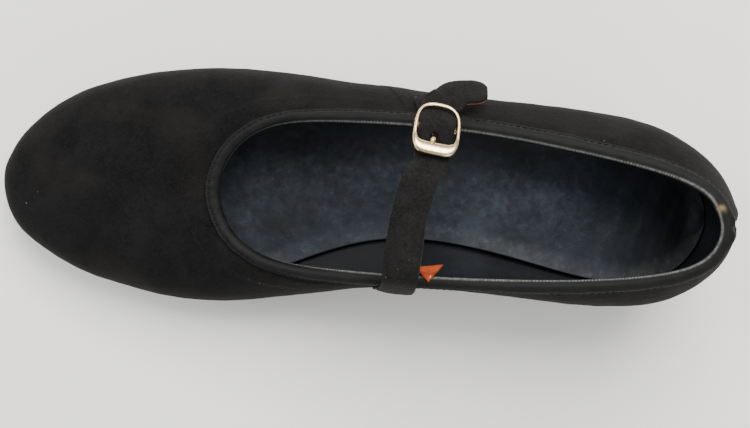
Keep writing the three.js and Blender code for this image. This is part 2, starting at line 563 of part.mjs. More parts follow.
const shoe = new THREE.Group();
shoe.name = 'tap_shoe';
const add = (name, geometry, material, group = shoe) => {
  const mesh = new THREE.Mesh(geometry, material);
  mesh.name = name;
  group.add(mesh);
  return mesh;
};

const upper = new THREE.Group();
upper.name = 'upper';
shoe.add(upper);
add('vamp', wallPiece(suedeSection, SEAM_OUT + side, SEAM_IN - side), suede, upper);
add('quarter_outer', wallPiece(suedeSection, side, SEAM_OUT - side), suede, upper);
add('quarter_inner', wallPiece(suedeSection, SEAM_IN + side, 1 - side), suede, upper);
add('vamp_lining', wallPiece(liningSection, SEAM_OUT + side, SEAM_IN - side), lining, upper);
add('quarter_lining', wallPiece(liningSection, SEAM_IN + side - 1, SEAM_OUT - side), insole, upper);
add('toe_puff', wallPiece(stiffener(8), 0.4125, 0.5875), felt, upper);
add('heel_counter', wallPiece(stiffener(5), -0.125, 0.125), board, upper);
add('throat_tape', wallPiece(tapeSection, 0.3, 0.7), felt, upper);
add('topline_binding', wallPiece(bindingSection, 0, 1), bindingLeather, upper);

const bottom = new THREE.Group();
bottom.name = 'bottom';
shoe.add(bottom);
const boardPairs = acrossSole(0.0005, 0.4995, wallInset, soleSteps);
add('insole_board', cut(plate(boardPairs, layer(boardFrom), layer(boardTo)), nailHoles), board, bottom);
add('sock_lining', plate(acrossSole(0.0005, 0.4995, wallInset + 1.0, soleSteps), layer(boardTo + GAP),
  layer(boardTo + GAP + SOCK_THICK)), insole, bottom);
const inner = acrossSole(0.0005, 0.4995, MARGIN + 2.2, soleSteps);
add('cork_filler', plate(cutPairs(inner, -0.15 * LENGTH, true), layer(0.05), layer(SUEDE)), cork, bottom);
const shankPairs = (from, to, half) => Array.from({ length: 25 }, (_, k) => {
  const x = lerp(from, to, k / 24) * LENGTH, t = edgeAt(x), y = (edgePlan(t).y + edgePlan(1 - t).y) / 2;
  return [new THREE.Vector2(x, y + half), new THREE.Vector2(x, y - half)];
});
add('shank', plate(shankPairs(-0.115, 0.262, 5.5), layer(0.05), layer(SUEDE)), steel, bottom);
const outsole = plate(solePairs, soleUnder, (x) => soleUnder(x) + SOLE_THICK);
add('outsole', cut(outsole, [...holesFor(toeScrews), ...nailHoles]), soleLeather, bottom);

const heel = new THREE.Group();
heel.name = 'heel';
shoe.add(heel);
const block = loopSweep([0, 0.2, 0.5, 0.8, 1].map(heelLevel), false);
add('heel_block', cut(block, [...holesFor(heelScrews), ...nailHoles]), heelStack, heel);
const lift = loopSweep([liftFrom, liftFrom + LIFT_THICK].map((z) => heelRing(HEEL_DRAW + 0.2, () => z)), false);
add('heel_top_lift', cut(lift, holesFor(heelScrews)), rubber, heel);
const heelPlate = loopSweep(
  [heelRing(HEEL_DRAW + 1.0, () => 0), heelRing(HEEL_DRAW + 0.5, () => TAP_THICK)], false);
add('heel_tap', cut(heelPlate, holesFor(heelScrews)), alu, heel);

const taps = new THREE.Group();
taps.name = 'toe_plate';
shoe.add(taps);
const tapPairs = cutPairs(acrossSole(0.0005, 0.4995, 1.6, 80), tapRearX, true);
const against = (x) => soleUnder(x) - GAP, tapUnder = (x) => against(x) - TAP_THICK;
add('toe_tap', cut(plate(tapPairs, tapUnder, against), holesFor(toeScrews)), alu, taps);
const forwardPairs = cutPairs(acrossSole(0.0005, 0.4995, 2.5, 80), tapRearX + 1.0, false);
const padPairs = cutPairs(forwardPairs, -0.06 * LENGTH, true);
add('sole_grip', plate(padPairs, (x) => against(x) - 1.2, against), rubber, taps);
for (const s of toeScrews) add(s.name, turned(screwProfile(s.length, 0), s.place), steel, taps);
for (const s of heelScrews) add(s.name, turned(screwProfile(s.length, 0), s.place), steel, heel);
for (const s of nails) add(s.name, turned(nailProfile(0), s.place, 8), steel, heel);

const fastening = new THREE.Group();
fastening.name = 'fastening';
shoe.add(fastening);
add('strap_anchor', ribbon(anchorFrames, STRAP_WIDTH, midFace + GAP, strapStack / 2), suede, fastening);
add('strap', strapGeo, suede, fastening);
add('strap_lining', strapLiningGeo, tan, fastening);
const tabLine = [local(0, -1.0, BAR_DROP - 1.05), local(0, -4.5, BAR_DROP - 0.6),
  offset(down(TAB_T, 0.2), 2.9), tabFoot(5), tabFoot(9.5), tabFoot(14)];
add('buckle_tab', cut(join([sleeve(-TAB_HALF, -1.5), sleeve(1.5, TAB_HALF), tabStrip(tabLine)]),
  [boxAt(-1.4, 1.4, -2.8, 2.6, -8, 1)]), bindingLeather, fastening);
add('buckle_frame', buckleGeo, gold, fastening);
add('buckle_prong', prongGeo, gold, fastening);

export default shoe;
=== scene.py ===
"""Right-foot tap shoe: suede Mary Jane upper, leather binding, gold buckle, stacked heel and metal plates.

Everything is worked out in millimetres in the CAD frame (toe to -X, heel to +X, outer side +Y, up +Z) and
written to Blender in metres.
"""
import logging
import math
from dataclasses import dataclass, field
from enum import Enum
from typing import Callable, Sequence

import bmesh
import bpy
import numpy as np
from mathutils import Matrix, Vector


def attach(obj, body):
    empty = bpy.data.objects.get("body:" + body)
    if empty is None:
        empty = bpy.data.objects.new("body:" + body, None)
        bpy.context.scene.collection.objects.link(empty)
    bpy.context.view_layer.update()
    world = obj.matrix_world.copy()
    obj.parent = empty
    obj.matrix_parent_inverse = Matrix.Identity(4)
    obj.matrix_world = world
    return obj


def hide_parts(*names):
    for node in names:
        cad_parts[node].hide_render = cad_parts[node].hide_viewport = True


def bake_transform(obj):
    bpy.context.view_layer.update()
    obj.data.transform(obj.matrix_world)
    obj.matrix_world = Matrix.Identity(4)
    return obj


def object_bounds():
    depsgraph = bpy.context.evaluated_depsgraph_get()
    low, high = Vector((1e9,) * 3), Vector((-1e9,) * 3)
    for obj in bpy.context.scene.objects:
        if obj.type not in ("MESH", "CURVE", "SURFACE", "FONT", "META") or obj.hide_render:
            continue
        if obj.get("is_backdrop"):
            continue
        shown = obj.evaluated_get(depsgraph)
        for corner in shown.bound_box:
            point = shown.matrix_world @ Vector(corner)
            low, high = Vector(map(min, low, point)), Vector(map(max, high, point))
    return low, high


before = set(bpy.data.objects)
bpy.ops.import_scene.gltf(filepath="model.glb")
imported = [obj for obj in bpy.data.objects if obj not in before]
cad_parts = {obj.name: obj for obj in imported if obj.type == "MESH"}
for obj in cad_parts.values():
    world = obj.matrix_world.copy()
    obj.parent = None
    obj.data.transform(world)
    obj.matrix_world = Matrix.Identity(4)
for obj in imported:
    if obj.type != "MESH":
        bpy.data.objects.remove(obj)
LOG = logging.getLogger("tap_shoe")
MM = 0.001
TURN = 2 * math.pi
TOP_LINE = 430.0  # millimetres of top line that one whole turn of t stands for
NEAR_SEAM = 0.0005  # smallest t, just beside the back seam
NO_WARP = (1, 1, 1)
UP = np.array([0.0, 0.0, 1.0])
Array = np.ndarray
Colour = tuple[float, float, float]


class Side(Enum):
    """The two sides of the foot."""

    OUTER = 1
    INNER = -1


# --------------------------------------------------------------------------------------------- small maths
def ease(v: Array | float) -> Array:
    """Smooth step from 0 to 1 with flat ends.

    Args:
        v: Position, 0 at the start and 1 at the end.

    Returns:
        The eased value.
    """
    s = np.clip(v, 0.0, 1.0)
    return s * s * s * (s * (6 * s - 15) + 10)


def band(v: Array, low: float, high: float, soft: float) -> Array:
    """One between low and high, zero outside, with soft edges of width soft."""
    return ease((v - low) / soft + 0.5) * ease((high - v) / soft + 0.5)


def hump(v: Array, centre: float, width: float) -> Array:
    """A smooth rise to 1 at centre that fades to nothing about two widths away."""
    return np.exp(-((v - centre) / width) ** 2)


def root_power(v: Array, power: float) -> Array:
    """v raised to a power, with its sign kept."""
    return np.sign(v) * np.abs(v) ** power


def last_before(low: float, high: float, holds: Callable[[float], bool]) -> float:
    """Halves the span until it meets the last value for which a test holds.

    Args:
        low: A value for which it holds.
        high: A value for which it doesn't.
        holds: The test.

    Returns:
        The last value for which it holds.
    """
    for _ in range(40):
        middle = (low + high) / 2
        low, high = (middle, high) if holds(middle) else (low, middle)
    return low


def pick(at: Array, along: Array, points: Array) -> Array:
    """Points at the distances at, read off a line whose points stand at the distances along."""
    return np.stack([np.interp(at, along, points[:, k]) for k in range(3)], -1)


def distances(points: Array) -> Array:
    """Distance along a line of points to each of them."""
    return np.concatenate([[0], np.cumsum(np.linalg.norm(np.diff(points, axis=0), axis=1))])


def unit(v: Array) -> Array:
    """Vectors scaled to length one."""
    return v / np.maximum(np.linalg.norm(v, axis=-1, keepdims=True), 1e-12)


def wander(p: Array, size: float, seed: int) -> Array:
    """Smooth repeatable unevenness between about -1 and 1, made of a few crossed waves.

    Args:
        p: Points, millimetres.
        size: Size of the largest waves.
        seed: Picks the directions and phases.

    Returns:
        One value for each point.
    """
    rng = np.random.default_rng(seed)
    total = np.zeros(p.shape[:-1])
    for _ in range(7):
        direction = unit(rng.normal(size=3))
        scale = size * rng.uniform(0.45, 1.1)
        total += np.sin(p @ direction * (TURN / scale) + rng.uniform(0, TURN)) / 7 ** 0.5
    return total / 1.4


# --------------------------------------------------------------------------------------------- shoe form
@dataclass(frozen=True)
class ShoeForm:
    """The outer skin of the upper and the run of the sole, as the CAD part has them."""

    length: float = 249.0
    ball_width: float = 80.0
    wall_height: float = 51.5
    heel_seat: float = 30.0
    toe_spring: float = 6.0
    sole_thick: float = 3.2
    tap_thick: float = 2.0
    gap: float = 0.3
    ball_x: float = -0.14
    seat_x: float = 0.30
    flat_x: float = -0.31
    plan_shift: float = 1.45
    stations: tuple = (
        (48.0, -14.4, 43.8, -13.8, 1.00, 7.5, .42, .30, 4.5, .30),
        (45.3, 5.6, 41.3, 2.5, .95, 8.0, .42, .30, 6.0, .30),
        (38.6, 19.5, 34.3, 11.8, .82, 10.0, .42, .30, 8.5, .30),
        (28.5, 24.5, 25.3, 18.8, .71, 12.0, .42, .30, 9.0, .30),
        (15.3, 29.0, 15.3, 25.0, .69, 11.5, .42, .30, 8.5, .30),
        (0.8, 37.0, 4.8, 28.8, .77, 9.0, .42, .35, 7.0, .30),
        (-13.7, 46.3, -4.8, 30.0, .80, 6.5, .42, .40, 6.0, .28),
        (-26.5, 47.8, -12.7, 28.8, .76, 6.5, .45, .44, 5.0, .25),
        (-39.3, 40.2, -17.9, 21.0, .71, 6.5, .50, .49, 3.0, .20),
        (-48.2, 22.0, -20.6, 10.0, .68, 6.0, .55, .51, 1.0, .16),
        (-51.2, 0.0, -21.5, -1.2, .67, 5.5, .58, .52, 0.0, .14),
        (-48.2, -21.5, -20.8, -12.5, .68, 6.0, .55, .51, 1.0, .16),
        (-39.2, -38.8, -18.5, -23.8, .71, 6.5, .50, .49, 3.0, .20),
        (-26.5, -48.8, -13.3, -33.0, .76, 6.5, .45, .44, 5.0, .25),
        (-13.7, -44.0, -5.2, -37.3, .80, 9.0, .42, .38, 6.5, .28),
        (0.8, -28.1, 4.8, -39.0, .77, 15.0, .42, .30, 6.5, .30),
        (15.3, -31.3, 15.3, -39.6, .69, 14.5, .42, .30, 7.0, .30),
        (28.5, -43.1, 25.3, -39.4, .71, 9.5, .42, .30, 7.0, .30),
        (38.6, -46.0, 34.3, -37.0, .82, 7.5, .42, .30, 6.0, .30),
        (45.2, -34.5, 41.3, -30.0, .95, 7.0, .42, .30, 5.0, .30),
    )

    def row(self, t: Array) -> Array:
        """Station values at t round the shoe, a smooth closed spline.

        Args:
            t: Position from the back seam by the outer side to the toe (0.5) and round to 1.

        Returns:
            One row of ten values for each t.
        """
        table = np.array(self.stations)
        table[:, [0, 2]] += self.plan_shift
        table = table + (table - (np.roll(table, 1, 0) + np.roll(table, -1, 0)) / 2) / 3
        n = len(table)
        u = (np.asarray(t, float) % 1.0) * n
        i = np.floor(u).astype(int)
        f = (u - i)[..., None]
        weights = ((1 - f) ** 3, 3 * f ** 3 - 6 * f ** 2 + 4, -3 * f ** 3 + 3 * f ** 2 + 3 * f + 1, f ** 3)
        return sum(w * table[(i + j - 1) % n] for j, w in enumerate(weights)) / 6

    def sole_under(self, x: Array) -> Array:
        """Height of the underside of the sole at x."""
        u = np.asarray(x, float) / self.length
        base = self.tap_thick + self.gap
        toe = self.toe_spring * np.maximum(0, (self.flat_x - u) / (self.flat_x + 0.5)) ** 2
        return base + toe + (self.heel_seat - base) * ease((u - self.ball_x) / (self.seat_x - self.ball_x))

    def sole_top(self, x: Array) -> Array:
        """Height at which the lasted upper starts."""
        return self.sole_under(x) + self.sole_thick + self.gap

    def edge(self, t: Array) -> Array:
        """Plan of the sole's edge at t."""
        s = self.row(t)
        return np.stack([s[..., 0] / 100 * self.length, s[..., 1] / 100 * self.ball_width], -1)

    def outward(self, t: Array) -> Array:
        """Level unit vectors square to the sole's edge, pointing out."""
        e = 1e-4
        d = unit(self.edge(np.asarray(t) + e) - self.edge(np.asarray(t) - e))
        return np.stack([d[..., 1], -d[..., 0], np.zeros(d.shape[:-1])], -1)

    def inset(self, t: Array, d: Array | float) -> Array:
        """Plan of the sole's edge drawn in by d."""
        return self.edge(t) - self.outward(t)[..., :2] * np.asarray(d)[..., None]

    def ribs(self, t: Array) -> Array:
        """Four control points of the wall's rib at each t."""
        s, out = self.row(t), self.outward(t)
        edge = np.zeros(s.shape[:-1] + (3,))
        edge[..., :2] = self.edge(t)
        edge[..., 2] = self.sole_top(edge[..., 0])
        top = np.zeros_like(edge)
        top[..., 0], top[..., 1] = s[..., 2] / 100 * self.length, s[..., 3] / 100 * self.ball_width
        top[..., 2] = self.sole_top(top[..., 0]) + s[..., 4] * self.wall_height
        rise = (top - edge)[..., 2:3]
        back = (edge - top) * np.array([1, 1, 0])
        low = edge + out * s[..., 5:6] + UP * s[..., 6:7] * rise
        high = top + back * s[..., 7:8] + out * s[..., 8:9] - UP * s[..., 9:10] * rise
        return np.stack([edge, low, high, top], -2)

    @staticmethod
    def on_rib(p: Array, h: Array) -> Array:
        """Points at h up each rib; p is (n, 4, 3) and h is (n, m)."""
        h = h[..., None]
        g = 1 - h
        q = [p[:, None, k, :] for k in range(4)]
        return g ** 3 * q[0] + 3 * g * g * h * q[1] + 3 * g * h * h * q[2] + h ** 3 * q[3]

    def skin(self, t: Array, h: Array) -> tuple[Array, Array]:
        """Points and outward normals of the outer skin.

        Args:
            t: Positions round the shoe, (n,).
            h: Heights up the wall, (n, m), 0 at the sole and 1 at the top line.

        Returns:
            Points (n, m, 3) and unit normals (n, m, 3).
        """
        e = 1e-3
        p = self.ribs(t)
        dh = self.on_rib(p, np.minimum(h + e, 1)) - self.on_rib(p, np.maximum(h - e, 0))
        dt = self.on_rib(self.ribs(t + e), h) - self.on_rib(self.ribs(t - e), h)
        return self.on_rib(p, h), unit(np.cross(dt, dh))

    def lengths(self, t: Array, steps: int = 160) -> Array:
        """Distance down the wall from the top line at even steps of h, (n, steps + 1)."""
        h = np.tile(1 - np.linspace(0, 1, steps + 1), (len(t), 1))
        q = self.on_rib(self.ribs(t), h)
        seg = np.linalg.norm(np.diff(q, axis=1), axis=2)
        return np.concatenate([np.zeros((len(t), 1)), np.cumsum(seg, 1)], 1)

    def down(self, t: Array, s: Array) -> tuple[Array, Array]:
        """Points and normals at a distance s down the wall from the top line.

        Args:
            t: Positions round the shoe, (n,).
            s: Distances, (m,) for all or (n, m).

        Returns:
            Points and unit normals, (n, m, 3).
        """
        table = self.lengths(t)
        steps = np.linspace(1, 0, table.shape[1])
        s = np.broadcast_to(np.asarray(s, float), (len(t), np.asarray(s).shape[-1]))
        h = np.stack([np.interp(s[k], table[k], steps) for k in range(len(t))])
        return self.skin(t, h)

    def top_at(self, x: float, side: Side) -> float:
        """t at which the top line passes x on one side."""
        on_side = lambda m: m if side is Side.OUTER else 1 - m  # noqa: E731
        return on_side(last_before(0.02, 0.48, lambda m: self.ribs(np.array([on_side(m)]))[0, 3, 0] > x))

    def edge_at(self, x: float) -> float:
        """t at which the sole's edge passes x on the outer side."""
        return last_before(0.001, 0.499, lambda m: self.edge(np.array([m]))[0, 0] > x)

    def last_at(self, t: Array, d: float, z: float) -> Array:
        """Points on the lasted bottom at t, drawn in from the edge by d and lifted by z."""
        plan = self.inset(t, d)
        return np.concatenate([plan, (self.sole_top(plan[:, 0]) + z)[:, None]], 1)


# --------------------------------------------------------------------------------------------- mesh tools
def mesh_object(name: str, verts: Array, faces: Sequence[Sequence[int]],
                smooth: bool = True) -> bpy.types.Object:
    """Makes an object from points in millimetres, merged and facing out.

    Args:
        name: The piece's name.
        verts: Points, millimetres.
        faces: Corner numbers.
        smooth: Shade smoothly.

    Returns:
        The object, linked to the scene.
    """
    mesh = bpy.data.meshes.new(name)
    mesh.from_pydata((np.asarray(verts) * MM).tolist(), [], [tuple(int(i) for i in f) for f in faces])
    bm = bmesh.new()
    bm.from_mesh(mesh)
    bmesh.ops.remove_doubles(bm, verts=bm.verts, dist=1e-7)
    bmesh.ops.dissolve_degenerate(bm, edges=bm.edges, dist=1e-8)
    bmesh.ops.recalc_face_normals(bm, faces=bm.faces)
    bm.to_mesh(mesh)
    bm.free()
    mesh.polygons.foreach_set("use_smooth", [smooth] * len(mesh.polygons))
    obj = bpy.data.objects.new(name, mesh)
    bpy.context.scene.collection.objects.link(obj)
    return obj


def sweep(grid: Array, ring: bool) -> tuple[Array, list]:
    """Joins closed loops of points into a skin; open ends get caps made of pairs.

    Args:
        grid: Points (n, m, 3); each row is one closed loop whose points pair up as (j, m - 1 - j).
        ring: The last row joins the first.

    Returns:
        Points (n * m, 3) and faces.
    """
    n, m = grid.shape[:2]
    faces = []
    for i in range(n if ring else n - 1):
        a, b = i * m, ((i + 1) % n) * m
        for j in range(m):
            k = (j + 1) % m
            faces.append((a + j, a + k, b + k, b + j))
    if not ring:
        for start, flip in ((0, True), ((n - 1) * m, False)):
            for j in range(m // 2 - 1):
                quad = (start + j, start + j + 1, start + m - 2 - j, start + m - 1 - j)
                faces.append(quad[::-1] if flip else quad)
    return grid.reshape(-1, 3), faces


def swept(name: str, grid: Array, ring: bool = False, smooth: bool = True) -> bpy.types.Object:
    """An object made by sweep()."""
    verts, faces = sweep(grid, ring)
    return mesh_object(name, verts, faces, smooth)


def between(outer: Array, inner: Array) -> Array:
    """Closed loops that run along the outer line and back along the inner line."""
    return np.concatenate([outer, inner[:, ::-1]], 1)


def finalise(obj: bpy.types.Object) -> bpy.types.Object:
    """Applies an object's modifiers to its mesh."""
    graph = bpy.context.evaluated_depsgraph_get()
    graph.update()
    mesh = bpy.data.meshes.new_from_object(obj.evaluated_get(graph))
    old = obj.data
    obj.modifiers.clear()
    obj.data = mesh
    bpy.data.meshes.remove(old)
    return obj


def carve(obj: bpy.types.Object, tools: Sequence[bpy.types.Object]) -> bpy.types.Object:
    """Cuts tools out of an object and removes them."""
    for tool in tools:
        mod = obj.modifiers.new("cut", "BOOLEAN")
        mod.operation, mod.solver, mod.object = "DIFFERENCE", "EXACT", tool
    finalise(obj)
    for tool in tools:
        bpy.data.objects.remove(tool)
    return obj


def turned(name: str, profile: Sequence[tuple[float, float]], sides: int, place: Callable[[Array], Array],
           smooth: bool = True) -> bpy.types.Object:
    """A turned piece.

    Args:
        name: The piece's name.
        profile: Radius and height pairs from the axis at the bottom to the axis at the top.
        sides: Steps round.
        place: Moves points from the lathe's frame to the shoe's.
        smooth: Shade smoothly.

    Returns:
        The object.
    """
    a = np.arange(sides) / sides * TURN
    rows = [np.stack([r * np.cos(a), r * np.sin(a), np.full(sides, z)], -1) for r, z in profile[1:-1]]
    verts = [np.array([[0, 0, profile[0][1]]]), *rows, np.array([[0, 0, profile[-1][1]]])]
    faces: list = []
    for k in range(len(rows) - 1):
        for j in range(sides):
            p, q = 1 + k * sides, 1 + (k + 1) * sides
            faces.append((p + j, p + (j + 1) % sides, q + (j + 1) % sides, q + j))
    last = 1 + len(rows) * sides
    for j in range(sides):
        faces.append((0, 1 + (j + 1) % sides, 1 + j))
        faces.append((last, last - sides + j, last - sides + (j + 1) % sides))
    return mesh_object(name, place(np.concatenate(verts)), faces, smooth)


class Route:
    """A smooth open line through points, measured along its length."""

    def __init__(self, points: Sequence[Array], steps: int = 60) -> None:
        """Fits the line.

        Args:
            points: Points that it passes through.
            steps: Samples in each span.
        """
        p = [np.asarray(q, float) for q in points]
        p = [2 * p[0] - p[1], *p, 2 * p[-1] - p[-2]]
        out = []
        for i in range(1, len(p) - 2):
            a, b, c, d = p[i - 1:i + 3]
            t0, t1, t2 = (max(np.linalg.norm(v) ** 0.5, 1e-4) for v in (b - a, c - b, d - c))
            m1 = ((b - a) / t0 - (c - a) / (t0 + t1) + (c - b) / t1) * t1
            m2 = ((c - b) / t1 - (d - b) / (t1 + t2) + (d - c) / t2) * t1
            u = np.linspace(0, 1, steps, endpoint=i == len(p) - 3)[:, None]
            out.append((2 * u ** 3 - 3 * u ** 2 + 1) * b + (u ** 3 - 2 * u ** 2 + u) * m1
                       + (-2 * u ** 3 + 3 * u ** 2) * c + (u ** 3 - u ** 2) * m2)
        self.line = np.concatenate(out)
        self.along = distances(self.line)

    @property
    def total(self) -> float:
        """Length of the line."""
        return float(self.along[-1])

    def at(self, f: Array) -> tuple[Array, Array]:
        """Points and unit directions at fractions f of the length."""
        s, e = np.asarray(f) * self.total, 0.05
        ahead = pick(np.minimum(s + e, self.total), self.along, self.line)
        return pick(s, self.along, self.line), unit(ahead - pick(np.maximum(s - e, 0), self.along, self.line))


def thread_row(name: str, points: Array, normals: Array, pitch: float, length: float, radius: float,
               lift: float = 0.0) -> bpy.types.Object:
    """A row of stitches along a line.

    Args:
        name: The piece's name.
        points: The line, (n, 3).
        normals: The surface normal at each point.
        pitch: Distance between stitches.
        length: Length of the thread seen in each.
        radius: Radius of the thread.
        lift: Height of the thread's middle over the line.

    Returns:
        The object that holds every stitch of the row.
    """
    along = distances(points)
    count = max(2, int(along[-1] / pitch))
    mids = (np.arange(count) + 0.5) * along[-1] / count
    p, nrm = pick(mids, along, points), unit(pick(mids, along, normals))
    d = unit(pick(mids + 0.3, along, points) - pick(mids - 0.3, along, points))
    side = unit(np.cross(nrm, d))
    rings, sides = 7, 6
    verts, faces = [], []
    for k in range(count):
        base = k * rings * sides
        for r in range(rings):
            f = r / (rings - 1) * 2 - 1
            thick = radius * max(0.25, (1 - abs(f) ** 3)) ** 0.5
            mid = p[k] + d[k] * f * length / 2 + nrm[k] * (lift + radius * 0.55 * (1 - 1.7 * f * f))
            for j in range(sides):
                a = j / sides * TURN
                verts.append(mid + side[k] * thick * math.cos(a) + nrm[k] * thick * math.sin(a))
        for r in range(rings - 1):
            for j in range(sides):
                q, w = base + r * sides, base + (r + 1) * sides
                faces.append((q + j, q + (j + 1) % sides, w + (j + 1) % sides, w + j))
        faces.append(tuple(base + j for j in range(sides))[::-1])
        faces.append(tuple(base + (rings - 1) * sides + j for j in range(sides)))
    return mesh_object(name, np.array(verts), faces)


def paint(obj: bpy.types.Object, name: str, values: Array) -> None:
    """Stores one number for each vertex, for the materials to read."""
    layer = obj.data.attributes.new(name, "FLOAT", "POINT")
    layer.data.foreach_set("value", np.asarray(values, np.float32))


def points_of(obj: bpy.types.Object) -> Array:
    """Vertices of an object in millimetres."""
    co = np.empty(len(obj.data.vertices) * 3)
    obj.data.vertices.foreach_get("co", co)
    return co.reshape(-1, 3) / MM


# --------------------------------------------------------------------------------------------- finishes
class Shader:
    """A material under construction, with short names for the nodes that finishes share."""

    def __init__(self, name: str) -> None:
        """Starts a material with a Principled shader.

        Args:
            name: The material's name.
        """
        self.material = bpy.data.materials.new(name)
        self.material.use_nodes = True
        self.tree = self.material.node_tree
        self.bsdf = self.tree.nodes["Principled BSDF"]
        self.where = self.node("ShaderNodeTexCoord").outputs["Object"]

    def node(self, kind: str, **values: object) -> bpy.types.Node:
        """Adds a node and sets its properties."""
        n = self.tree.nodes.new(kind)
        for key, value in values.items():
            setattr(n, key, value)
        return n

    def link(self, a: bpy.types.NodeSocket, b: bpy.types.NodeSocket) -> None:
        """Joins two sockets."""
        self.tree.links.new(a, b)

    def set(self, **values: object) -> None:
        """Sets shader sockets to constants; underscores stand for spaces."""
        for key, value in values.items():
            socket = self.bsdf.inputs[key.replace("_", " ")]
            socket.default_value = (*value, 1.0) if isinstance(value, tuple) and len(value) == 3 else value

    def noise(self, scale: float, detail: float = 2.0, rough: float = 0.5, warp: float = 0.0,
              stretch: Colour = NO_WARP) -> bpy.types.NodeSocket:
        """Noise in object space; scale is in features per metre."""
        n = self.node("ShaderNodeTexNoise")
        n.inputs["Scale"].default_value = scale
        n.inputs["Detail"].default_value = detail
        n.inputs["Roughness"].default_value = rough
        n.inputs["Distortion"].default_value = warp
        m = self.node("ShaderNodeMapping")
        m.inputs["Scale"].default_value = stretch
        self.link(self.where, m.inputs["Vector"])
        self.link(m.outputs["Vector"], n.inputs["Vector"])
        return n.outputs["Fac"]

    def cells(self, scale: float, feature: str = "F1") -> bpy.types.NodeSocket:
        """Cell distances in object space."""
        n = self.node("ShaderNodeTexVoronoi", feature=feature)
        n.inputs["Scale"].default_value = scale
        self.link(self.where, n.inputs["Vector"])
        return n.outputs["Distance"]

    def ramp(self, value: bpy.types.NodeSocket, low: float, high: float, to_low: float = 0.0,
             to_high: float = 1.0) -> bpy.types.NodeSocket:
        """Maps low..high to to_low..to_high, clamped."""
        n = self.node("ShaderNodeMapRange")
        for key, v in zip(("From Min", "From Max", "To Min", "To Max"), (low, high, to_low, to_high)):
            n.inputs[key].default_value = v
        self.link(value, n.inputs["Value"])
        return n.outputs["Result"]

    def mix(self, factor: bpy.types.NodeSocket | float, a: object, b: object) -> bpy.types.NodeSocket:
        """Mixes two colours or sockets."""
        n = self.node("ShaderNodeMix", data_type="RGBA")
        for socket, value in ((n.inputs[0], factor), (n.inputs[6], a), (n.inputs[7], b)):
            if isinstance(value, bpy.types.NodeSocket):
                self.link(value, socket)
            else:
                socket.default_value = (*value, 1.0) if isinstance(value, tuple) else value
        return n.outputs[2]

    def maths(self, operation: str, a: object, b: object = 0.0) -> bpy.types.NodeSocket:
        """Combines two numbers or sockets."""
        n = self.node("ShaderNodeMath", operation=operation)
        for socket, value in zip(n.inputs, (a, b)):
            if isinstance(value, bpy.types.NodeSocket):
                self.link(value, socket)
            else:
                socket.default_value = value
        return n.outputs[0]

    def painted(self, name: str) -> bpy.types.NodeSocket:
        """A number stored on the mesh by paint()."""
        return self.node("ShaderNodeAttribute", attribute_name=name).outputs["Fac"]

    def axis(self, index: int) -> bpy.types.NodeSocket:
        """One coordinate of the place in the shoe, metres."""
        n = self.node("ShaderNodeSeparateXYZ")
        self.link(self.where, n.inputs[0])
        return n.outputs[index]

    def bump(self, *layers: tuple[bpy.types.NodeSocket, float, float]) -> None:
        """Stacks bumps of (height, strength, depth in millimetres)."""
        last = None
        for height, strength, depth in layers:
            n = self.node("ShaderNodeBump")
            n.inputs["Strength"].default_value = strength
            n.inputs["Distance"].default_value = depth * MM
            self.link(height, n.inputs["Height"])
            if last is not None:
                self.link(last, n.inputs["Normal"])
            last = n.outputs["Normal"]
        self.link(last, self.bsdf.inputs["Normal"])

    def colour(self, socket: bpy.types.NodeSocket) -> None:
        """Sends a colour to the shader."""
        self.link(socket, self.bsdf.inputs["Base Color"])

    def roughness(self, socket: bpy.types.NodeSocket) -> None:
        """Sends a roughness to the shader."""
        self.link(socket, self.bsdf.inputs["Roughness"])


@dataclass(frozen=True)
class Suede:
    """Napped suede: matt, patchy where the nap lies one way or the other, with dust and lint."""

    name: str = "black_suede"
    deep: Colour = (0.0014, 0.0014, 0.0016)
    brushed: Colour = (0.0068, 0.0064, 0.0065)
    dusty: Colour = (0.0180, 0.0153, 0.0124)
    lint: Colour = (0.20, 0.19, 0.17)
    sheen: float = 0.05

    def material(self) -> bpy.types.Material:
        """Builds the material."""
        s = Shader(self.name)
        nap = s.noise(55, 4, 0.6, 0.6)
        fibre = s.noise(1500, 3, 0.7, 0.4, (1, 1, 0.6))
        fuzz = s.noise(520, 3, 0.65)
        tone = s.mix(s.ramp(nap, 0.35, 0.68), self.deep, self.brushed)
        tone = s.mix(s.ramp(fibre, 0.42, 0.72, 0.0, 0.55), tone, tuple(c * 1.9 for c in self.brushed))
        tone = s.mix(s.ramp(fuzz, 0.30, 0.46, 0.6, 0.0), tone, self.deep)
        dust = s.maths("MULTIPLY", s.painted("dust"), s.ramp(s.noise(140, 4, 0.7), 0.30, 0.75, 0.35, 1.0))
        tone = s.mix(dust, tone, self.dusty)
        specks = s.ramp(s.cells(330), 0.085, 0.055)
        rare = s.ramp(s.noise(47, 1, 0.5), 0.63, 0.68)
        tone = s.mix(s.maths("MULTIPLY", specks, rare), tone, self.lint)
        s.colour(tone)
        s.set(Roughness=0.96, Specular_IOR_Level=0.10, Sheen_Weight=self.sheen, Sheen_Roughness=0.45,
              Sheen_Tint=(0.62, 0.60, 0.58))
        s.bump((fibre, 0.75, 0.22), (fuzz, 0.55, 0.35), (nap, 0.35, 0.8))
        return s.material


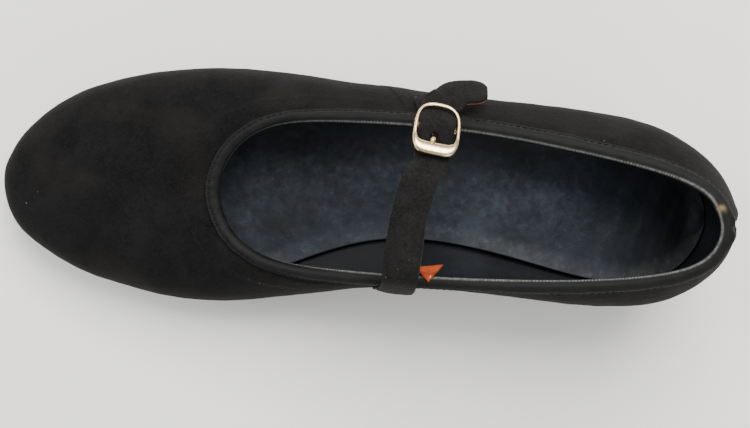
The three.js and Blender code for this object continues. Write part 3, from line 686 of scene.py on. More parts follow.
@dataclass(frozen=True)
class SmoothLeather:
    """Finished black leather with a soft gloss, fine grain, creases, rubbed edges and a painted highlight
    along the crest.
    """

    name: str = "binding_leather"
    base: Colour = (0.0042, 0.0043, 0.0044)
    faded: Colour = (0.0100, 0.0098, 0.0090)
    raw: Colour = (0.30, 0.21, 0.10)
    crest_highlight_colour: Colour = (0.30, 0.305, 0.28)
    gloss: float = 0.60
    grain: float = 1300.0

    def material(self) -> bpy.types.Material:
        """Builds the material."""
        s = Shader(self.name)
        cells = s.cells(self.grain, "DISTANCE_TO_EDGE")
        cloud = s.noise(190, 4, 0.6)
        fine = s.noise(2600, 2, 0.6)
        tone = s.mix(s.ramp(cloud, 0.38, 0.74), self.base, self.faded)
        wear = s.maths("MULTIPLY", s.painted("wear"), s.ramp(s.noise(420, 4, 0.7), 0.34, 0.56, 0.25, 1.0))
        # painted highlight: the crest of the roll is lightened to a bright beaded line where it catches the
        # light, and made a little glossier
        painted_crest_highlight = s.maths("MULTIPLY", s.painted("painted_crest_highlight"), s.ramp(s.noise(900, 3, 0.7), 0.3, 0.6, 0.35, 1.0))
        tone = s.mix(painted_crest_highlight, tone, self.crest_highlight_colour)
        tone = s.mix(wear, tone, self.raw)
        s.colour(tone)
        s.roughness(s.maths("SUBTRACT", s.ramp(cloud, 0.25, 0.8, self.gloss - 0.05, self.gloss + 0.14),
                            s.maths("MULTIPLY", painted_crest_highlight, 0.16)))
        s.set(Specular_IOR_Level=0.15)
        s.bump((s.ramp(cells, 0.0, 0.10), 0.30, 0.07), (fine, 0.35, 0.05), (cloud, 0.30, 0.35))
        return s.material


@dataclass(frozen=True)
class InsoleLeather:
    """Blue-black insole leather: worn to a sheen where the foot stands, dull in the creases, with painted
    shade near the walls.
    """

    name: str = "insole_leather"
    base: Colour = (0.0048, 0.0062, 0.0092)
    worn: Colour = (0.0125, 0.0180, 0.0275)
    pale: Colour = (0.036, 0.048, 0.064)
    gloss: float = 0.55

    def material(self) -> bpy.types.Material:
        """Builds the material."""
        s = Shader(self.name)
        cloud = s.noise(48, 5, 0.62, 0.7)
        mottled = s.noise(330, 4, 0.65, 0.3)
        pores = s.cells(1500)
        tone = s.mix(s.ramp(cloud, 0.36, 0.66), self.base, self.worn)
        tone = s.mix(s.maths("MULTIPLY", s.painted("wear"), s.ramp(mottled, 0.32, 0.62)), tone, self.pale)
        tone = s.mix(s.ramp(mottled, 0.58, 0.74, 0.0, 0.45), tone, self.pale)
        # dark crack lines across the ball, and painted shade towards the heel, the toe and the outer side
        tone = s.mix(s.maths("MULTIPLY", s.painted("crack_and_shade"), 0.85), tone, tuple(c * 0.4 for c in self.base))
        s.colour(tone)
        s.roughness(s.ramp(mottled, 0.3, 0.7, self.gloss + 0.12, self.gloss - 0.05))
        s.set(Specular_IOR_Level=0.30)
        s.bump((pores, 0.28, 0.10), (mottled, 0.5, 0.16), (cloud, 0.30, 0.7))
        return s.material


@dataclass(frozen=True)
class RawLeather:
    """Undyed leather, or another plain fibrous sheet, with loose fibres."""

    name: str = "tan_leather"
    base: Colour = (0.52, 0.20, 0.055)
    light: Colour = (0.72, 0.36, 0.13)
    rough: float = 0.78
    fibre: float = 900.0

    def material(self) -> bpy.types.Material:
        """Builds the material."""
        s = Shader(self.name)
        fibres = s.noise(self.fibre, 4, 0.7, 0.5, (1, 2.2, 1))
        cloud = s.noise(150, 3, 0.6)
        tone = s.mix(s.ramp(fibres, 0.35, 0.68), self.base, self.light)
        tone = s.mix(s.ramp(cloud, 0.5, 0.8, 0.0, 0.5), tone, tuple(c * 0.55 for c in self.base))
        s.colour(tone)
        s.roughness(s.ramp(cloud, 0.2, 0.8, self.rough - 0.08, self.rough + 0.12))
        s.set(Specular_IOR_Level=0.2)
        s.bump((fibres, 0.6, 0.18), (cloud, 0.3, 0.3))
        return s.material


@dataclass(frozen=True)
class Metal:
    """Plated or plain metal with fine scratches and a slightly uneven polish."""

    name: str = "buckle_gold"
    base: Colour = (0.80, 0.64, 0.38)
    dull: Colour = (0.62, 0.47, 0.26)
    polish: float = 0.17
    scratches: float = 0.3

    def material(self) -> bpy.types.Material:
        """Builds the material."""
        s = Shader(self.name)
        cloud = s.noise(260, 3, 0.6)
        lines = s.noise(700, 3, 0.6, 0.2, (1, 7, 3))
        other = s.noise(650, 3, 0.6, 0.2, (6, 1, 4))
        tone = s.mix(s.ramp(cloud, 0.45, 0.8), self.base, self.dull)
        s.colour(tone)
        marks = s.maths("MAXIMUM", lines, other)
        s.roughness(s.ramp(marks, 0.5, 0.78, self.polish, self.polish + self.scratches))
        s.set(Metallic=1.0)
        cut = 0.10 + self.scratches * 0.2
        s.bump((lines, cut, 0.02), (other, cut, 0.02), (cloud, 0.25, 0.06))
        return s.material


@dataclass(frozen=True)
class SoleLeather:
    """Waxed black sole edge or stacked heel: fine horizontal layers and scuffs."""

    name: str = "sole_leather"
    base: Colour = (0.018, 0.015, 0.0135)
    scuffed: Colour = (0.10, 0.082, 0.066)
    layer: float = 3.1
    seam: float = 0.12
    gloss: float = 0.36

    def material(self) -> bpy.types.Material:
        """Builds the material."""
        s = Shader(self.name)
        scuff = s.noise(120, 6, 0.7, 0.8)
        fine = s.noise(1100, 3, 0.7, 0.0, (1, 1, 3))
        height = s.maths("FRACT", s.maths("DIVIDE", s.axis(2), self.layer * MM))
        joint = s.ramp(s.maths("ABSOLUTE", s.maths("SUBTRACT", height, 0.5)), 0.5 - self.seam, 0.5)
        tone = s.mix(s.ramp(scuff, 0.56, 0.74, 0.0, 0.75), self.base, self.scuffed)
        tone = s.mix(s.maths("MULTIPLY", joint, 0.7), tone, tuple(c * 0.3 for c in self.base))
        s.colour(tone)
        s.roughness(s.ramp(scuff, 0.4, 0.75, self.gloss, self.gloss + 0.35))
        s.bump((fine, 0.3, 0.08), (joint, -0.4, 0.12), (scuff, 0.25, 0.2))
        return s.material


@dataclass(frozen=True)
class Rubber:
    """Matt black rubber, dusty in the pores."""

    name: str = "rubber"
    base: Colour = (0.016, 0.016, 0.017)
    dust: Colour = (0.075, 0.072, 0.066)

    def material(self) -> bpy.types.Material:
        """Builds the material."""
        s = Shader(self.name)
        cells = s.cells(900)
        cloud = s.noise(170, 4, 0.65)
        tone = s.mix(s.ramp(cloud, 0.5, 0.8, 0.0, 0.7), self.base, self.dust)
        s.colour(tone)
        s.roughness(s.ramp(cloud, 0.3, 0.8, 0.62, 0.9))
        s.bump((cells, 0.4, 0.12), (cloud, 0.2, 0.15))
        return s.material


@dataclass(frozen=True)
class Cloth:
    """Woven cloth or felt, with crossed threads."""

    name: str = "lining_cloth"
    base: Colour = (0.0045, 0.0048, 0.0062)
    light: Colour = (0.0110, 0.0118, 0.0145)
    threads: float = 0.42

    def material(self) -> bpy.types.Material:
        """Builds the material."""
        s = Shader(self.name)
        waves = []
        for axis in ("X", "Y"):
            w = s.node("ShaderNodeTexWave", bands_direction=axis)
            w.inputs["Scale"].default_value = 1 / (self.threads * MM * TURN)
            w.inputs["Distortion"].default_value = 0.6
            s.link(s.where, w.inputs["Vector"])
            waves.append(w.outputs["Fac"])
        weave = s.maths("MULTIPLY", *waves)
        cloud = s.noise(160, 3, 0.6)
        s.colour(s.mix(s.maths("MULTIPLY", weave, s.ramp(cloud, 0.2, 0.9, 0.6, 1.0)), self.base, self.light))
        s.set(Roughness=0.9)
        s.bump((weave, 0.5, 0.12), (cloud, 0.3, 0.3))
        return s.material


class Wardrobe:
    """Every finish of the shoe, made once and handed out by name."""

    def __init__(self) -> None:
        """Builds the materials."""
        self.suede = Suede().material()
        self.strap_suede = Suede("strap_suede", (0.0030, 0.0029, 0.0030), (0.0125, 0.0118, 0.0118),
                                 sheen=0.07).material()
        self.binding = SmoothLeather().material()
        self.insole = InsoleLeather().material()
        self.lining_leather = InsoleLeather("lining_leather", (0.0028, 0.0032, 0.0044),
                                            (0.0062, 0.0074, 0.0100), (0.0130, 0.0155, 0.0200),
                                            gloss=0.6).material()
        self.cloth = Cloth().material()
        self.tan, self.thread, self.white_thread, self.orange, self.board, self.cork = (
            RawLeather(*finish).material() for finish in (
                ("tan_leather", (0.34, 0.125, 0.035), (0.50, 0.23, 0.080)),
                ("black_thread", (0.0035, 0.0035, 0.0036), (0.0125, 0.0122, 0.0125), 0.82, 2400),
                ("white_thread", (0.62, 0.58, 0.50), (0.85, 0.82, 0.76), 0.6, 2400),
                ("bright_tan", (0.28, 0.032, 0.006), (0.40, 0.074, 0.015), 0.7, 900),
                ("fibre_board", (0.30, 0.22, 0.14), (0.46, 0.36, 0.24), 0.85, 700),
                ("cork", (0.26, 0.13, 0.06), (0.48, 0.28, 0.14), 0.9, 420)))
        self.felt = Cloth("puff_cloth", (0.05, 0.047, 0.042), (0.11, 0.10, 0.09), 0.6).material()
        self.gold = Metal().material()
        self.steel = Metal("steel", (0.50, 0.50, 0.50), (0.34, 0.34, 0.35), 0.24, 0.25).material()
        self.alu = Metal("tap_aluminium", (0.72, 0.73, 0.75), (0.50, 0.51, 0.53), 0.24, 0.34).material()
        self.sole = SoleLeather().material()
        self.heel = SoleLeather("heel_leather", (0.014, 0.012, 0.011), (0.06, 0.05, 0.042)).material()
        self.rubber = Rubber().material()


def dress(obj: bpy.types.Object, material: bpy.types.Material, body: str, slot: str,
          *nodes: str) -> bpy.types.Object:
    """Gives a piece its finish and its body, and hides the CAD nodes that it stands for.

    Args:
        obj: The piece.
        material: Its finish.
        body: The body that it rides on, or nothing where it is blended across a joint.
        slot: The material slot that it belongs in; not used.
        nodes: CAD nodes that it replaces.

    Returns:
        The piece.
    """
    obj.data.materials.clear()
    obj.data.materials.append(material)
    if nodes:
        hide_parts(*nodes)
    if body:
        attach(obj, body)
    LOG.info("%s: %d faces", obj.name, len(obj.data.polygons))
    return obj


# --------------------------------------------------------------------------------------------- the upper
@dataclass
class Upper:
    """Suede vamp and quarters, lasted under the insole board, with their seams."""

    form: ShoeForm
    suede: float = 1.1
    margin: float = 12.0
    seam_x: float = 0.085
    rows: int = 46
    steps: int = 620
    lap: float = 5.5
    lap_rise: float = 0.16
    ridge: float = 0.5
    ridge_from: float = 5.2
    ridge_to: float = 12.0
    stitch_pitch: float = 2.1

    def seams(self) -> tuple[float, float]:
        """Places of the two side seams round the shoe."""
        x = self.seam_x * self.form.length
        return self.form.top_at(x, Side.OUTER), self.form.top_at(x, Side.INNER)

    def relief(self, t: Array, s: Array, p: Array) -> Array:
        """Height of the skin over the plain form.

        Args:
            t: Positions round the shoe, (n,).
            s: Distances below the top line, (n, m).
            p: Points of the plain form, (n, m, 3).

        Returns:
            Heights in millimetres, (n, m).
        """
        front = band(t, 0.30, 0.70, 0.14)[:, None]
        tape = self.ridge * band(s, self.ridge_from, self.ridge_to, 1.3) * front
        crease = band(t, 0.33, 0.67, 0.1)[:, None] * ease((s - 10) / 20) * 0.22 * wander(p, 26, 3)
        off = (t - np.round(t)) * TOP_LINE
        lips = 1.25 * hump(off, 4.4, 3.0) + 0.85 * hump(off, -4.4, 3.0) - 1.5 * hump(off, 0, 1.5)
        back = ease((34 - s) / 26) * lips[:, None] - 0.3 * hump(off, 0, 1.1)[:, None]
        wave = 0.28 * wander(p, 52, 1) + 0.07 * wander(p, 11, 2)
        return (tape + crease + back + wave) * ease(s / 6) * 0.9

    def sheet(self, name: str, start: float, end: float, lap_from: float = 0.0,
              lap_to: float = 0.0) -> bpy.types.Object:
        """One suede piece between two places round the shoe.

        Args:
            name: The piece's name.
            start: First t.
            end: Last t.
            lap_from: How far the first edge lies over its neighbour, millimetres.
            lap_to: How far the last edge does.

        Returns:
            The object.
        """
        f = self.form
        per_mm = 1 / TOP_LINE
        a, b = start - lap_from * per_mm, end + lap_to * per_mm
        t = np.linspace(a, b, max(24, int((b - a) * self.steps)))
        total = f.lengths(t)[:, -1]
        level = np.linspace(0, 1, self.rows)
        s = (level[None] ** 1.15) * total[:, None]
        p, n = f.down(t, s)
        h = self.relief(t % 1.0, s, p)
        over = np.zeros(len(t))
        for lap, before in ((lap_from, start - t), (lap_to, t - end)):
            if lap:
                over += ease((before / per_mm + 1.5) / 3.5)
        h = h + (over * self.lap_rise)[:, None] * ease((total[:, None] - s) / 4)
        edge = np.minimum(t - a, b - t) / per_mm
        round_off = 1 - 0.55 * np.clip(1 - edge / 0.6, 0, 1) ** 2
        top = p + n * h[..., None]
        foot = np.stack([f.last_at(t, d, 0.0) for d in (2.0, 6.0, self.margin)], 1)
        inside = foot + UP * self.suede
        under = p + n * (h - self.suede * round_off[:, None])[..., None]
        turn_in = np.clip((s / total[:, None] - 0.9) / 0.1, 0, 1)[..., None]
        height = f.sole_top(f.edge(t)[:, 0]) + self.suede
        corner = np.concatenate([f.inset(t, self.suede), height[:, None]], 1)
        under = under * (1 - turn_in) + corner[:, None] * turn_in
        obj = swept(name, between(np.concatenate([top, foot], 1), np.concatenate([under, inside], 1)))
        z = points_of(obj)
        low = ease((f.sole_top(z[:, 0]) + 9 - z[:, 2]) / 9)
        paint(obj, "dust", 0.10 + 0.5 * low + 0.30 * ease(wander(z, 38, 8) - 0.1))
        return obj

    def on_skin(self, t: Array, s: Array, lift: float = 0.0) -> tuple[Array, Array]:
        """Points and normals on the relief, one for each pair of t and s."""
        p, n = self.form.down(t, np.asarray(s)[:, None])
        h = self.relief(t % 1.0, np.asarray(s)[:, None], p)
        return (p + n * (h + lift)[..., None])[:, 0], n[:, 0]

    def seam_rows(self, finish: Wardrobe) -> None:
        """Stitches along the side seams, the throat's ridge and the back."""
        outer, inner = self.seams()
        rows = []
        for name, seam, way in (("outer", outer, 1), ("inner", inner, -1)):
            length = self.form.lengths(np.array([seam]))[0, -1]
            for k, d in enumerate((1.6, 3.4)):
                t = np.full(120, seam + way * (self.lap - d) / TOP_LINE)
                rows.append((f"side_stitches_{name}_{k + 1}",
                             *self.on_skin(t, np.linspace(3.2, length - 3, 120), self.lap_rise)))
        t = np.linspace(0.31, 0.69, 400)
        below = self.ridge_to - 1.0 - 5.0 * (1 - band(t, 0.34, 0.66, 0.08))
        rows.append(("throat_stitches_1", *self.on_skin(t, below)))
        for name, way in (("inner", -1), ("outer", 1)):
            rows.append((f"back_stitches_{name}",
                         *self.on_skin(np.full(100, way * 2.0 / TOP_LINE), np.linspace(4, 46, 100))))
        for name, p, n in rows:
            row = thread_row(name, p, n, self.stitch_pitch, length=self.stitch_pitch * 0.62, radius=0.15,
                             lift=-0.06)
            dress(row, finish.thread, "root", "suede")

    def build(self, finish: Wardrobe) -> None:
        """Makes and dresses the upper."""
        outer, inner = self.seams()
        for sheet, node in ((("vamp_suede", outer, inner), "vamp"),
                            (("quarter_suede_outer", 0.0004, outer, 0, self.lap), "quarter_outer"),
                            (("quarter_suede_inner", inner, 0.9996, self.lap), "quarter_inner")):
            dress(self.sheet(*sheet), finish.suede, "root", "suede", node)
        self.seam_rows(finish)


@dataclass
class Binding:
    """Narrow leather binding folded over the top line and sewn through."""

    form: ShoeForm
    gap: float = 0.3
    thick: float = 0.7
    wall: float = 2.1
    depth: float = 3.0
    inner_depth: float = 3.2
    steps: int = 900
    pitch: float = 2.2
    stitch_at: float = 2.1
    crest_at: float = 19.6
    roll_at: float = 21.5
    highlight_bead: float = 0.95

    def loop(self, t: Array, grow: float) -> Array:
        """Section of the binding at each t, from the outer edge over the top to the inner edge.

        Args:
            t: Positions round the shoe.
            grow: Distance of the face from the wall.

        Returns:
            Points (n, m, 3).
        """
        f = self.form
        outer_s = np.linspace(self.depth, 0.15, 12)
        inner_s = np.linspace(0.15, self.inner_depth, 10)
        wob = 0.16 * wander(np.stack([np.cos(t * TURN), np.sin(t * TURN), np.zeros_like(t)], -1) * 70, 9, 4)
        outer, n0 = f.down(t, outer_s[None] * (1 + 0.5 * wob[:, None] / self.depth))
        inner, n1 = f.down(t, inner_s)
        face = grow > self.gap
        rise, rise_in = np.full((len(t), len(outer_s)), grow), np.full((len(t), len(inner_s)), grow)
        if face:
            sunk = 0.24 * hump(outer_s, self.stitch_at, 0.35)
            puff = 0.26 * hump(outer_s, 0.9, 0.8) - 0.22 * ease((outer_s - 2.6) / 0.5)
            every_stitch = np.cos(t * TOP_LINE / self.pitch * TURN)[:, None]
            pull = 0.07 * every_stitch * hump(outer_s, self.stitch_at, 0.6)
            off = (t - np.round(t)) * TOP_LINE
            ends = (0.5 * hump(np.abs(off), 4.0, 2.6) - 0.7 * hump(off, 0, 0.8))[:, None]
            rise = rise + puff - sunk + pull + 0.5 * wob[:, None] + ends
            rise_in = rise_in + 0.1 * hump(inner_s, 0.9, 0.8) - 0.25 * ease((inner_s - 2.5) / 0.7)
        top, n = f.down(t, np.array([0.0]))
        below, _ = f.down(t, np.array([1.0]))
        up = unit(top[:, 0] - below[:, 0])
        middle = top[:, 0] - n[:, 0] * self.wall / 2 - up * 0.3
        a = np.radians(np.linspace(160, 20, 11))
        r = (self.wall / 2 + grow + 0.1 * wob * face)[:, None]
        arc = middle[:, None] - n * (r * np.cos(a))[..., None]
        arc = arc + up[:, None] * (r * np.sin(a) * 0.95)[..., None]
        return np.concatenate([outer + n0 * rise[..., None], arc,
                               inner - n1 * (self.wall + rise_in)[..., None]], 1)

    def build(self, finish: Wardrobe) -> None:
        """Makes and dresses the binding, its stitches, its worn inner edge and the painted highlight along
        its crest.
        """
        t = np.arange(self.steps) / self.steps
        face = self.loop(t, self.gap + self.thick)
        obj = swept("topline_binding_rolled", between(face, self.loop(t, self.gap)), ring=True)
        paint(obj, "wear", self.worn(points_of(obj), t, face.shape[1]))
        # painted highlight along the crest of the roll, broken into beads
        highlight_beads = 0.62 + 0.38 * np.sin(t * TOP_LINE / self.highlight_bead * TURN) * np.sin(t * 97)
        across = np.arange(2 * face.shape[1])
        middle = self.crest_at - 2.3 * band(t, 0.03, 0.47, 0.04)[:, None]
        painted_crest_highlight = np.where(across < face.shape[1], hump(across, middle, 0.85), 0.0)
        paint(obj, "painted_crest_highlight", (highlight_beads[:, None] * painted_crest_highlight).reshape(-1))
        dress(obj, finish.binding, "root", "binding_leather", "topline_binding")
        ring = np.append(t, 1.0)
        line, n = self.form.down(ring, np.array([self.stitch_at]))
        rise = self.gap + self.thick - 0.10
        row = thread_row("binding_stitches", (line + n * rise)[:, 0], n[:, 0], self.pitch,
                         length=self.pitch * 0.62, radius=0.19)
        dress(row, finish.thread, "root", "binding_leather")

    def worn(self, p: Array, t: Array, count: int) -> Array:
        """How far each point is rubbed: the inner roll at the front of the throat and a spot at the back.

        Args:
            p: Points of the binding, (n * 2 * count, 3).
            t: Positions round the shoe, (n,).
            count: Points across the outer face.

        Returns:
            Rubbing from 0 to 1 for each point.
        """
        spot = 0.9 * hump(p[:, 0], 109.6, 1.1) * hump(p[:, 1], -4.6, 1.0)
        place = np.arange(2 * count)
        roll = np.where(place < count, hump(place, self.roll_at, 0.9), 0.0)
        throat = band(t, 0.425, 0.60, 0.05) * (0.75 + 0.25 * np.sin(t * 900))
        return np.clip(spot + (throat[:, None] * roll).reshape(-1), 0, 1)


@dataclass
class Linings:
    """Vamp lining, quarter lining and the cupped sock lining that the foot stands on."""

    form: ShoeForm
    depth_top: float = 1.4
    depth_low: float = 2.5
    thick: float = 0.7
    step_from: float = 4.6
    step_to: float = 5.9
    seam_x: float = 0.085
    board_top: float = 3.2
    sock: float = 1.0
    sock_inset: float = 4.5
    cup: float = 5.5
    cup_rise: float = 1.5
    steps: int = 420

    def wall(self, name: str, start: float, end: float) -> bpy.types.Object:
        """Lining of part of the wall, softly creased.

        Args:
            name: The piece's name.
            start: First t.
            end: Last t.

        Returns:
            The object.
        """
        f = self.form
        t = np.linspace(start, end, int((end - start) * self.steps))
        total = f.lengths(t)[:, -1]
        s = np.concatenate([np.tile([0.0, 1.5, 3.2, self.step_from], (len(t), 1)),
                            self.step_to + np.linspace(0, 1, 30) * (total[:, None] * 0.97 - self.step_to)], 1)
        p, n = f.down(t, s)
        deeper = np.clip((s - self.step_from) / (self.step_to - self.step_from), 0, 1)
        depth = self.depth_top + (self.depth_low - self.depth_top) * deeper
        soft = 0.22 * wander(p * np.array([1, 1, 0.4]), 17, 11) + 0.35 * wander(p, 45, 12) - 0.25
        soft = soft * ease((s - 6) / 10)
        soft *= ease((total[:, None] - s) / 8)
        outer = p - n * depth[..., None]
        inner = p - n * (depth + self.thick - np.minimum(soft, 0.3))[..., None]
        loops = [np.concatenate([face, f.last_at(t, d, 1.5)[:, None]], 1)
                 for face, d in ((outer, self.depth_low), (inner, self.depth_low + self.thick))]
        obj = swept(name, between(*loops))
        paint(obj, "wear", 0.2 + 0.5 * ease(wander(points_of(obj), 30, 5)))
        return obj

    def sock_lining(self) -> bpy.types.Object:
        """The insole: cupped at the edge, pressed where heel and ball stand, creased across the ball, with
        painted shade at the heel, the toe and the outer side.
        """
        f = self.form
        n, across = 420, 110
        t = NEAR_SEAM + (0.499 - NEAR_SEAM) * (0.5 - 0.5 * np.cos(np.linspace(0, math.pi, n)))
        a, b = f.inset(t, self.sock_inset), f.inset(1 - t, self.sock_inset)
        u = np.linspace(0, 1, across)
        u = u - 0.06 * np.sin(TURN * u)
        plan = a[:, None] * (1 - u[None, :, None]) + b[:, None] * u[None, :, None]
        width = np.linalg.norm(a - b, axis=1)[:, None]
        side = np.minimum(u, 1 - u)[None] * width
        ends = np.minimum(plan[..., 0].max() - plan[..., 0], plan[..., 0] - plan[..., 0].min())
        rim = np.minimum(side, np.maximum(ends, 0))
        climb = np.clip(1 - rim / self.cup, 0, 1) ** 2 * self.cup_rise
        x, y = plan[..., 0], plan[..., 1]
        outwards = np.where(u[None, :, None] < 0.5, f.outward(t)[:, None, :2], f.outward(1 - t)[:, None, :2])
        spread = plan + outwards * (np.clip(1 - side / self.cup, 0, 1) ** 2 * 1.9)[..., None]
        pressed = 0.45 * hump(x, 88, 24) * hump(y, -10, 15) + 0.5 * hump(x, -50, 22) * hump(y, -2, 24)
        flat = np.stack([x, y, np.zeros_like(x)], -1)
        crease = sum(hump(x + 0.16 * y + 1.6 * wander(flat, 22, 20 + k), c, 0.8)
                     for k, c in enumerate((-63, -40, -30, -21))) * hump(y, 4, 17) * 0.28
        fine = 0.05 * wander(flat, 7, 31) + 0.16 * wander(flat, 19, 32)
        top = f.sole_top(x) + self.board_top + 0.3 + self.sock + climb + 0.25 - pressed - crease + fine
        low = f.sole_top(x) + self.board_top + 0.15 + climb * 0.9
        faces = [np.concatenate([spread, z[..., None]], -1) for z in (top, np.minimum(low, top - 0.5))]
        obj = swept("sock_leather", between(*faces))
        q = points_of(obj)
        x, y = q[:, 0], q[:, 1]
        wear = 0.50 * hump(x, 55, 36) * hump(y, -6, 13) + 0.32 * hump(x, -25, 38) * hump(y, 2, 20)
        paint(obj, "wear", np.clip(wear + 0.25 * ease(wander(q, 26, 6)), 0, 1))
        veins = hump(wander(q * np.array([1.0, 1.5, 0]), 13, 33), 0, 0.055)
        veins *= np.clip(wander(q * np.array([1, 1, 0]), 9, 34) * 1.6 + 0.35, 0, 1)
        veins *= hump(x, -14, 17) * hump(y, -1, 12) * 1.6
        # painted shade: the insole is darkened towards the heel, the toe and the outer side, where the walls
        # shade it
        painted_shade = 0.75 * ease((x - 70) / 40) + 0.5 * ease((-45 - x) / 40) + 0.4 * ease((y - 2) / 16)
        paint(obj, "crack_and_shade", np.clip(np.maximum(veins, painted_shade), 0, 1))
        return obj

    def build(self, finish: Wardrobe) -> None:
        """Makes and dresses the linings."""
        x = self.seam_x * self.form.length
        outer, inner = self.form.top_at(x, Side.OUTER), self.form.top_at(x, Side.INNER)
        dress(self.wall("vamp_lining_cloth", outer, inner), finish.cloth, "root", "lining_cloth",
              "vamp_lining")
        dress(self.wall("quarter_lining_leather", inner - 1, outer), finish.lining_leather, "root",
              "insole_leather", "quarter_lining")
        dress(self.sock_lining(), finish.insole, "root", "insole_leather", "sock_lining")


# --------------------------------------------------------------------------------------------- the bottom
@dataclass
class Bottom:
    """Outsole, stacked heel with its rubber lift, and the rubber pad behind the toe plate."""

    form: ShoeForm
    overhang: float = 0.6
    breast_x: float = 0.225
    draw: float = 5.2
    lift_thick: float = 5.0
    tap_rear_x: float = -0.235
    pad_rear_x: float = -0.06
    pad_thick: float = 1.2
    gap: float = 0.3

    def pairs(self, start: float, end: float, inset: float, steps: int) -> Array:
        """Pairs of plan points across the sole, (steps + 1, 2, 2)."""
        t = start + (end - start) * np.linspace(0, 1, steps + 1)
        return np.stack([self.form.inset(t, inset), self.form.inset(1 - t, inset)], 1)

    def whole(self, inset: float, steps: int = 240) -> Array:
        """Pairs of plan points over the whole sole."""
        return self.pairs(NEAR_SEAM, 0.5 - NEAR_SEAM, inset, steps)

    @staticmethod
    def cut(pairs: Array, x: float, keep_below: bool) -> Array:
        """Cuts a list of pairs square at x."""
        middle = pairs[..., 0].mean(1)
        kept = pairs[middle <= x] if keep_below else pairs[middle >= x]
        kept = kept.copy()
        kept[0 if keep_below else -1, :, 0] = x
        return kept

    @staticmethod
    def loop(pairs: Array, z: Callable[[Array], Array]) -> Array:
        """A closed loop through pairs at the height z(x)."""
        plan = np.concatenate([pairs[:, 0], pairs[::-1, 1]])
        return np.concatenate([plan, np.broadcast_to(z(plan[:, 0]), len(plan))[:, None]], 1)

    def slab(self, name: str, outline: Callable[[float], Array], under: Callable[[Array], Array],
             over: Callable[[Array], Array], round_off: float) -> bpy.types.Object:
        """A plate with rounded edges.

        Args:
            name: The piece's name.
            outline: Pairs of plan points drawn in by a distance.
            under: Height of the lower face at x.
            over: Height of the upper face at x.
            round_off: Radius of the edges.

        Returns:
            The object.
        """
        r = round_off
        steps = [(r, 0.0), (r * 0.3, 0.12 * r), (0.05 * r, 0.45 * r), (0, r)]
        loops = [self.loop(outline(d), lambda x, e=e: under(x) + e) for d, e in steps]
        loops += [self.loop(outline(d), lambda x, e=e: over(x) - e) for d, e in steps[::-1]]
        return swept(name, np.stack(loops), smooth=False)

    def heel_pairs(self, draw: float, steps: int = 90) -> Array:
        """Pairs of the heel's outline, drawn in by draw."""
        pairs = self.pairs(NEAR_SEAM, self.form.edge_at(self.breast_x * self.form.length), draw, steps)
        pairs[-1, :, 0] = self.breast_x * self.form.length + draw * 0.9
        return pairs

    def block(self) -> bpy.types.Object:
        """The stacked heel block, narrowing to the floor."""
        f = self.form
        low = f.tap_thick + self.gap + self.lift_thick + self.gap
        loops = []
        for k in np.linspace(0, 1, 40):
            lay = 0.07 * abs(math.sin(k * math.pi * 7))
            draw = self.draw * (1 - k) ** 0.7 + 0.2 + 0.06 - lay
            loops.append(self.loop(self.heel_pairs(draw),
                                   lambda x, k=k: low + (f.sole_under(x) - self.gap - low) * k))
        return swept("heel_stack", np.stack(loops), smooth=False)

    def build(self, finish: Wardrobe) -> None:
        """Makes and dresses the bottom."""
        f = self.form
        sole = self.slab("outsole_leather", lambda d: self.whole(d - self.overhang), f.sole_under,
                         lambda x: f.sole_under(x) + f.sole_thick, round_off=0.55)
        block = self.block()
        z = f.tap_thick + self.gap
        lift = self.slab("heel_lift", lambda d: self.heel_pairs(self.draw + 0.2 + d), lambda x: z,
                         lambda x: z + self.lift_thick, round_off=0.35)
        pad = self.cut(self.cut(self.whole(2.5), self.tap_rear_x * f.length + 1.0, False),
                       self.pad_rear_x * f.length, True)
        grip = self.under_sole("sole_pad", pad, self.pad_thick, reach=40, round_off=0.3)
        for piece, material, slot, node in ((sole, finish.sole, "sole_leather", "outsole"),
                                            (block, finish.heel, "heel_leather", "heel_block"),
                                            (lift, finish.rubber, "rubber", "heel_top_lift"),
                                            (grip, finish.rubber, "rubber", "sole_grip")):
            shade(dress(piece, material, "root", slot, node))

    def under_sole(self, name: str, pairs: Array, thick: float, reach: float,
                   round_off: float) -> bpy.types.Object:
        """A plate that lies against the underside of the sole.

        Args:
            name: The piece's name.
            pairs: Its outline.
            thick: Its thickness.
            reach: Distance from its middle over which the outline is drawn in evenly at the rounded edges.
            round_off: Radius of the edges.

        Returns:
            The object.
        """
        middle = pairs.mean((0, 1))
        face = lambda x: self.form.sole_under(x) - self.gap  # noqa: E731
        return self.slab(name, lambda d: middle + (pairs - middle) * (1 - d / reach),
                         lambda x: face(x) - thick, face, round_off)


def shade(obj: bpy.types.Object, angle: float = 32.0) -> bpy.types.Object:
    """Shades an object smoothly except across edges sharper than angle degrees."""
    mesh = obj.data
    mesh.polygons.foreach_set("use_smooth", [True] * len(mesh.polygons))
    bm = bmesh.new()
    bm.from_mesh(mesh)
    for edge in bm.edges:
        edge.smooth = len(edge.link_faces) == 2 and edge.calc_face_angle(0.0) < math.radians(angle)
    bm.to_mesh(mesh)
    bm.free()
    return obj


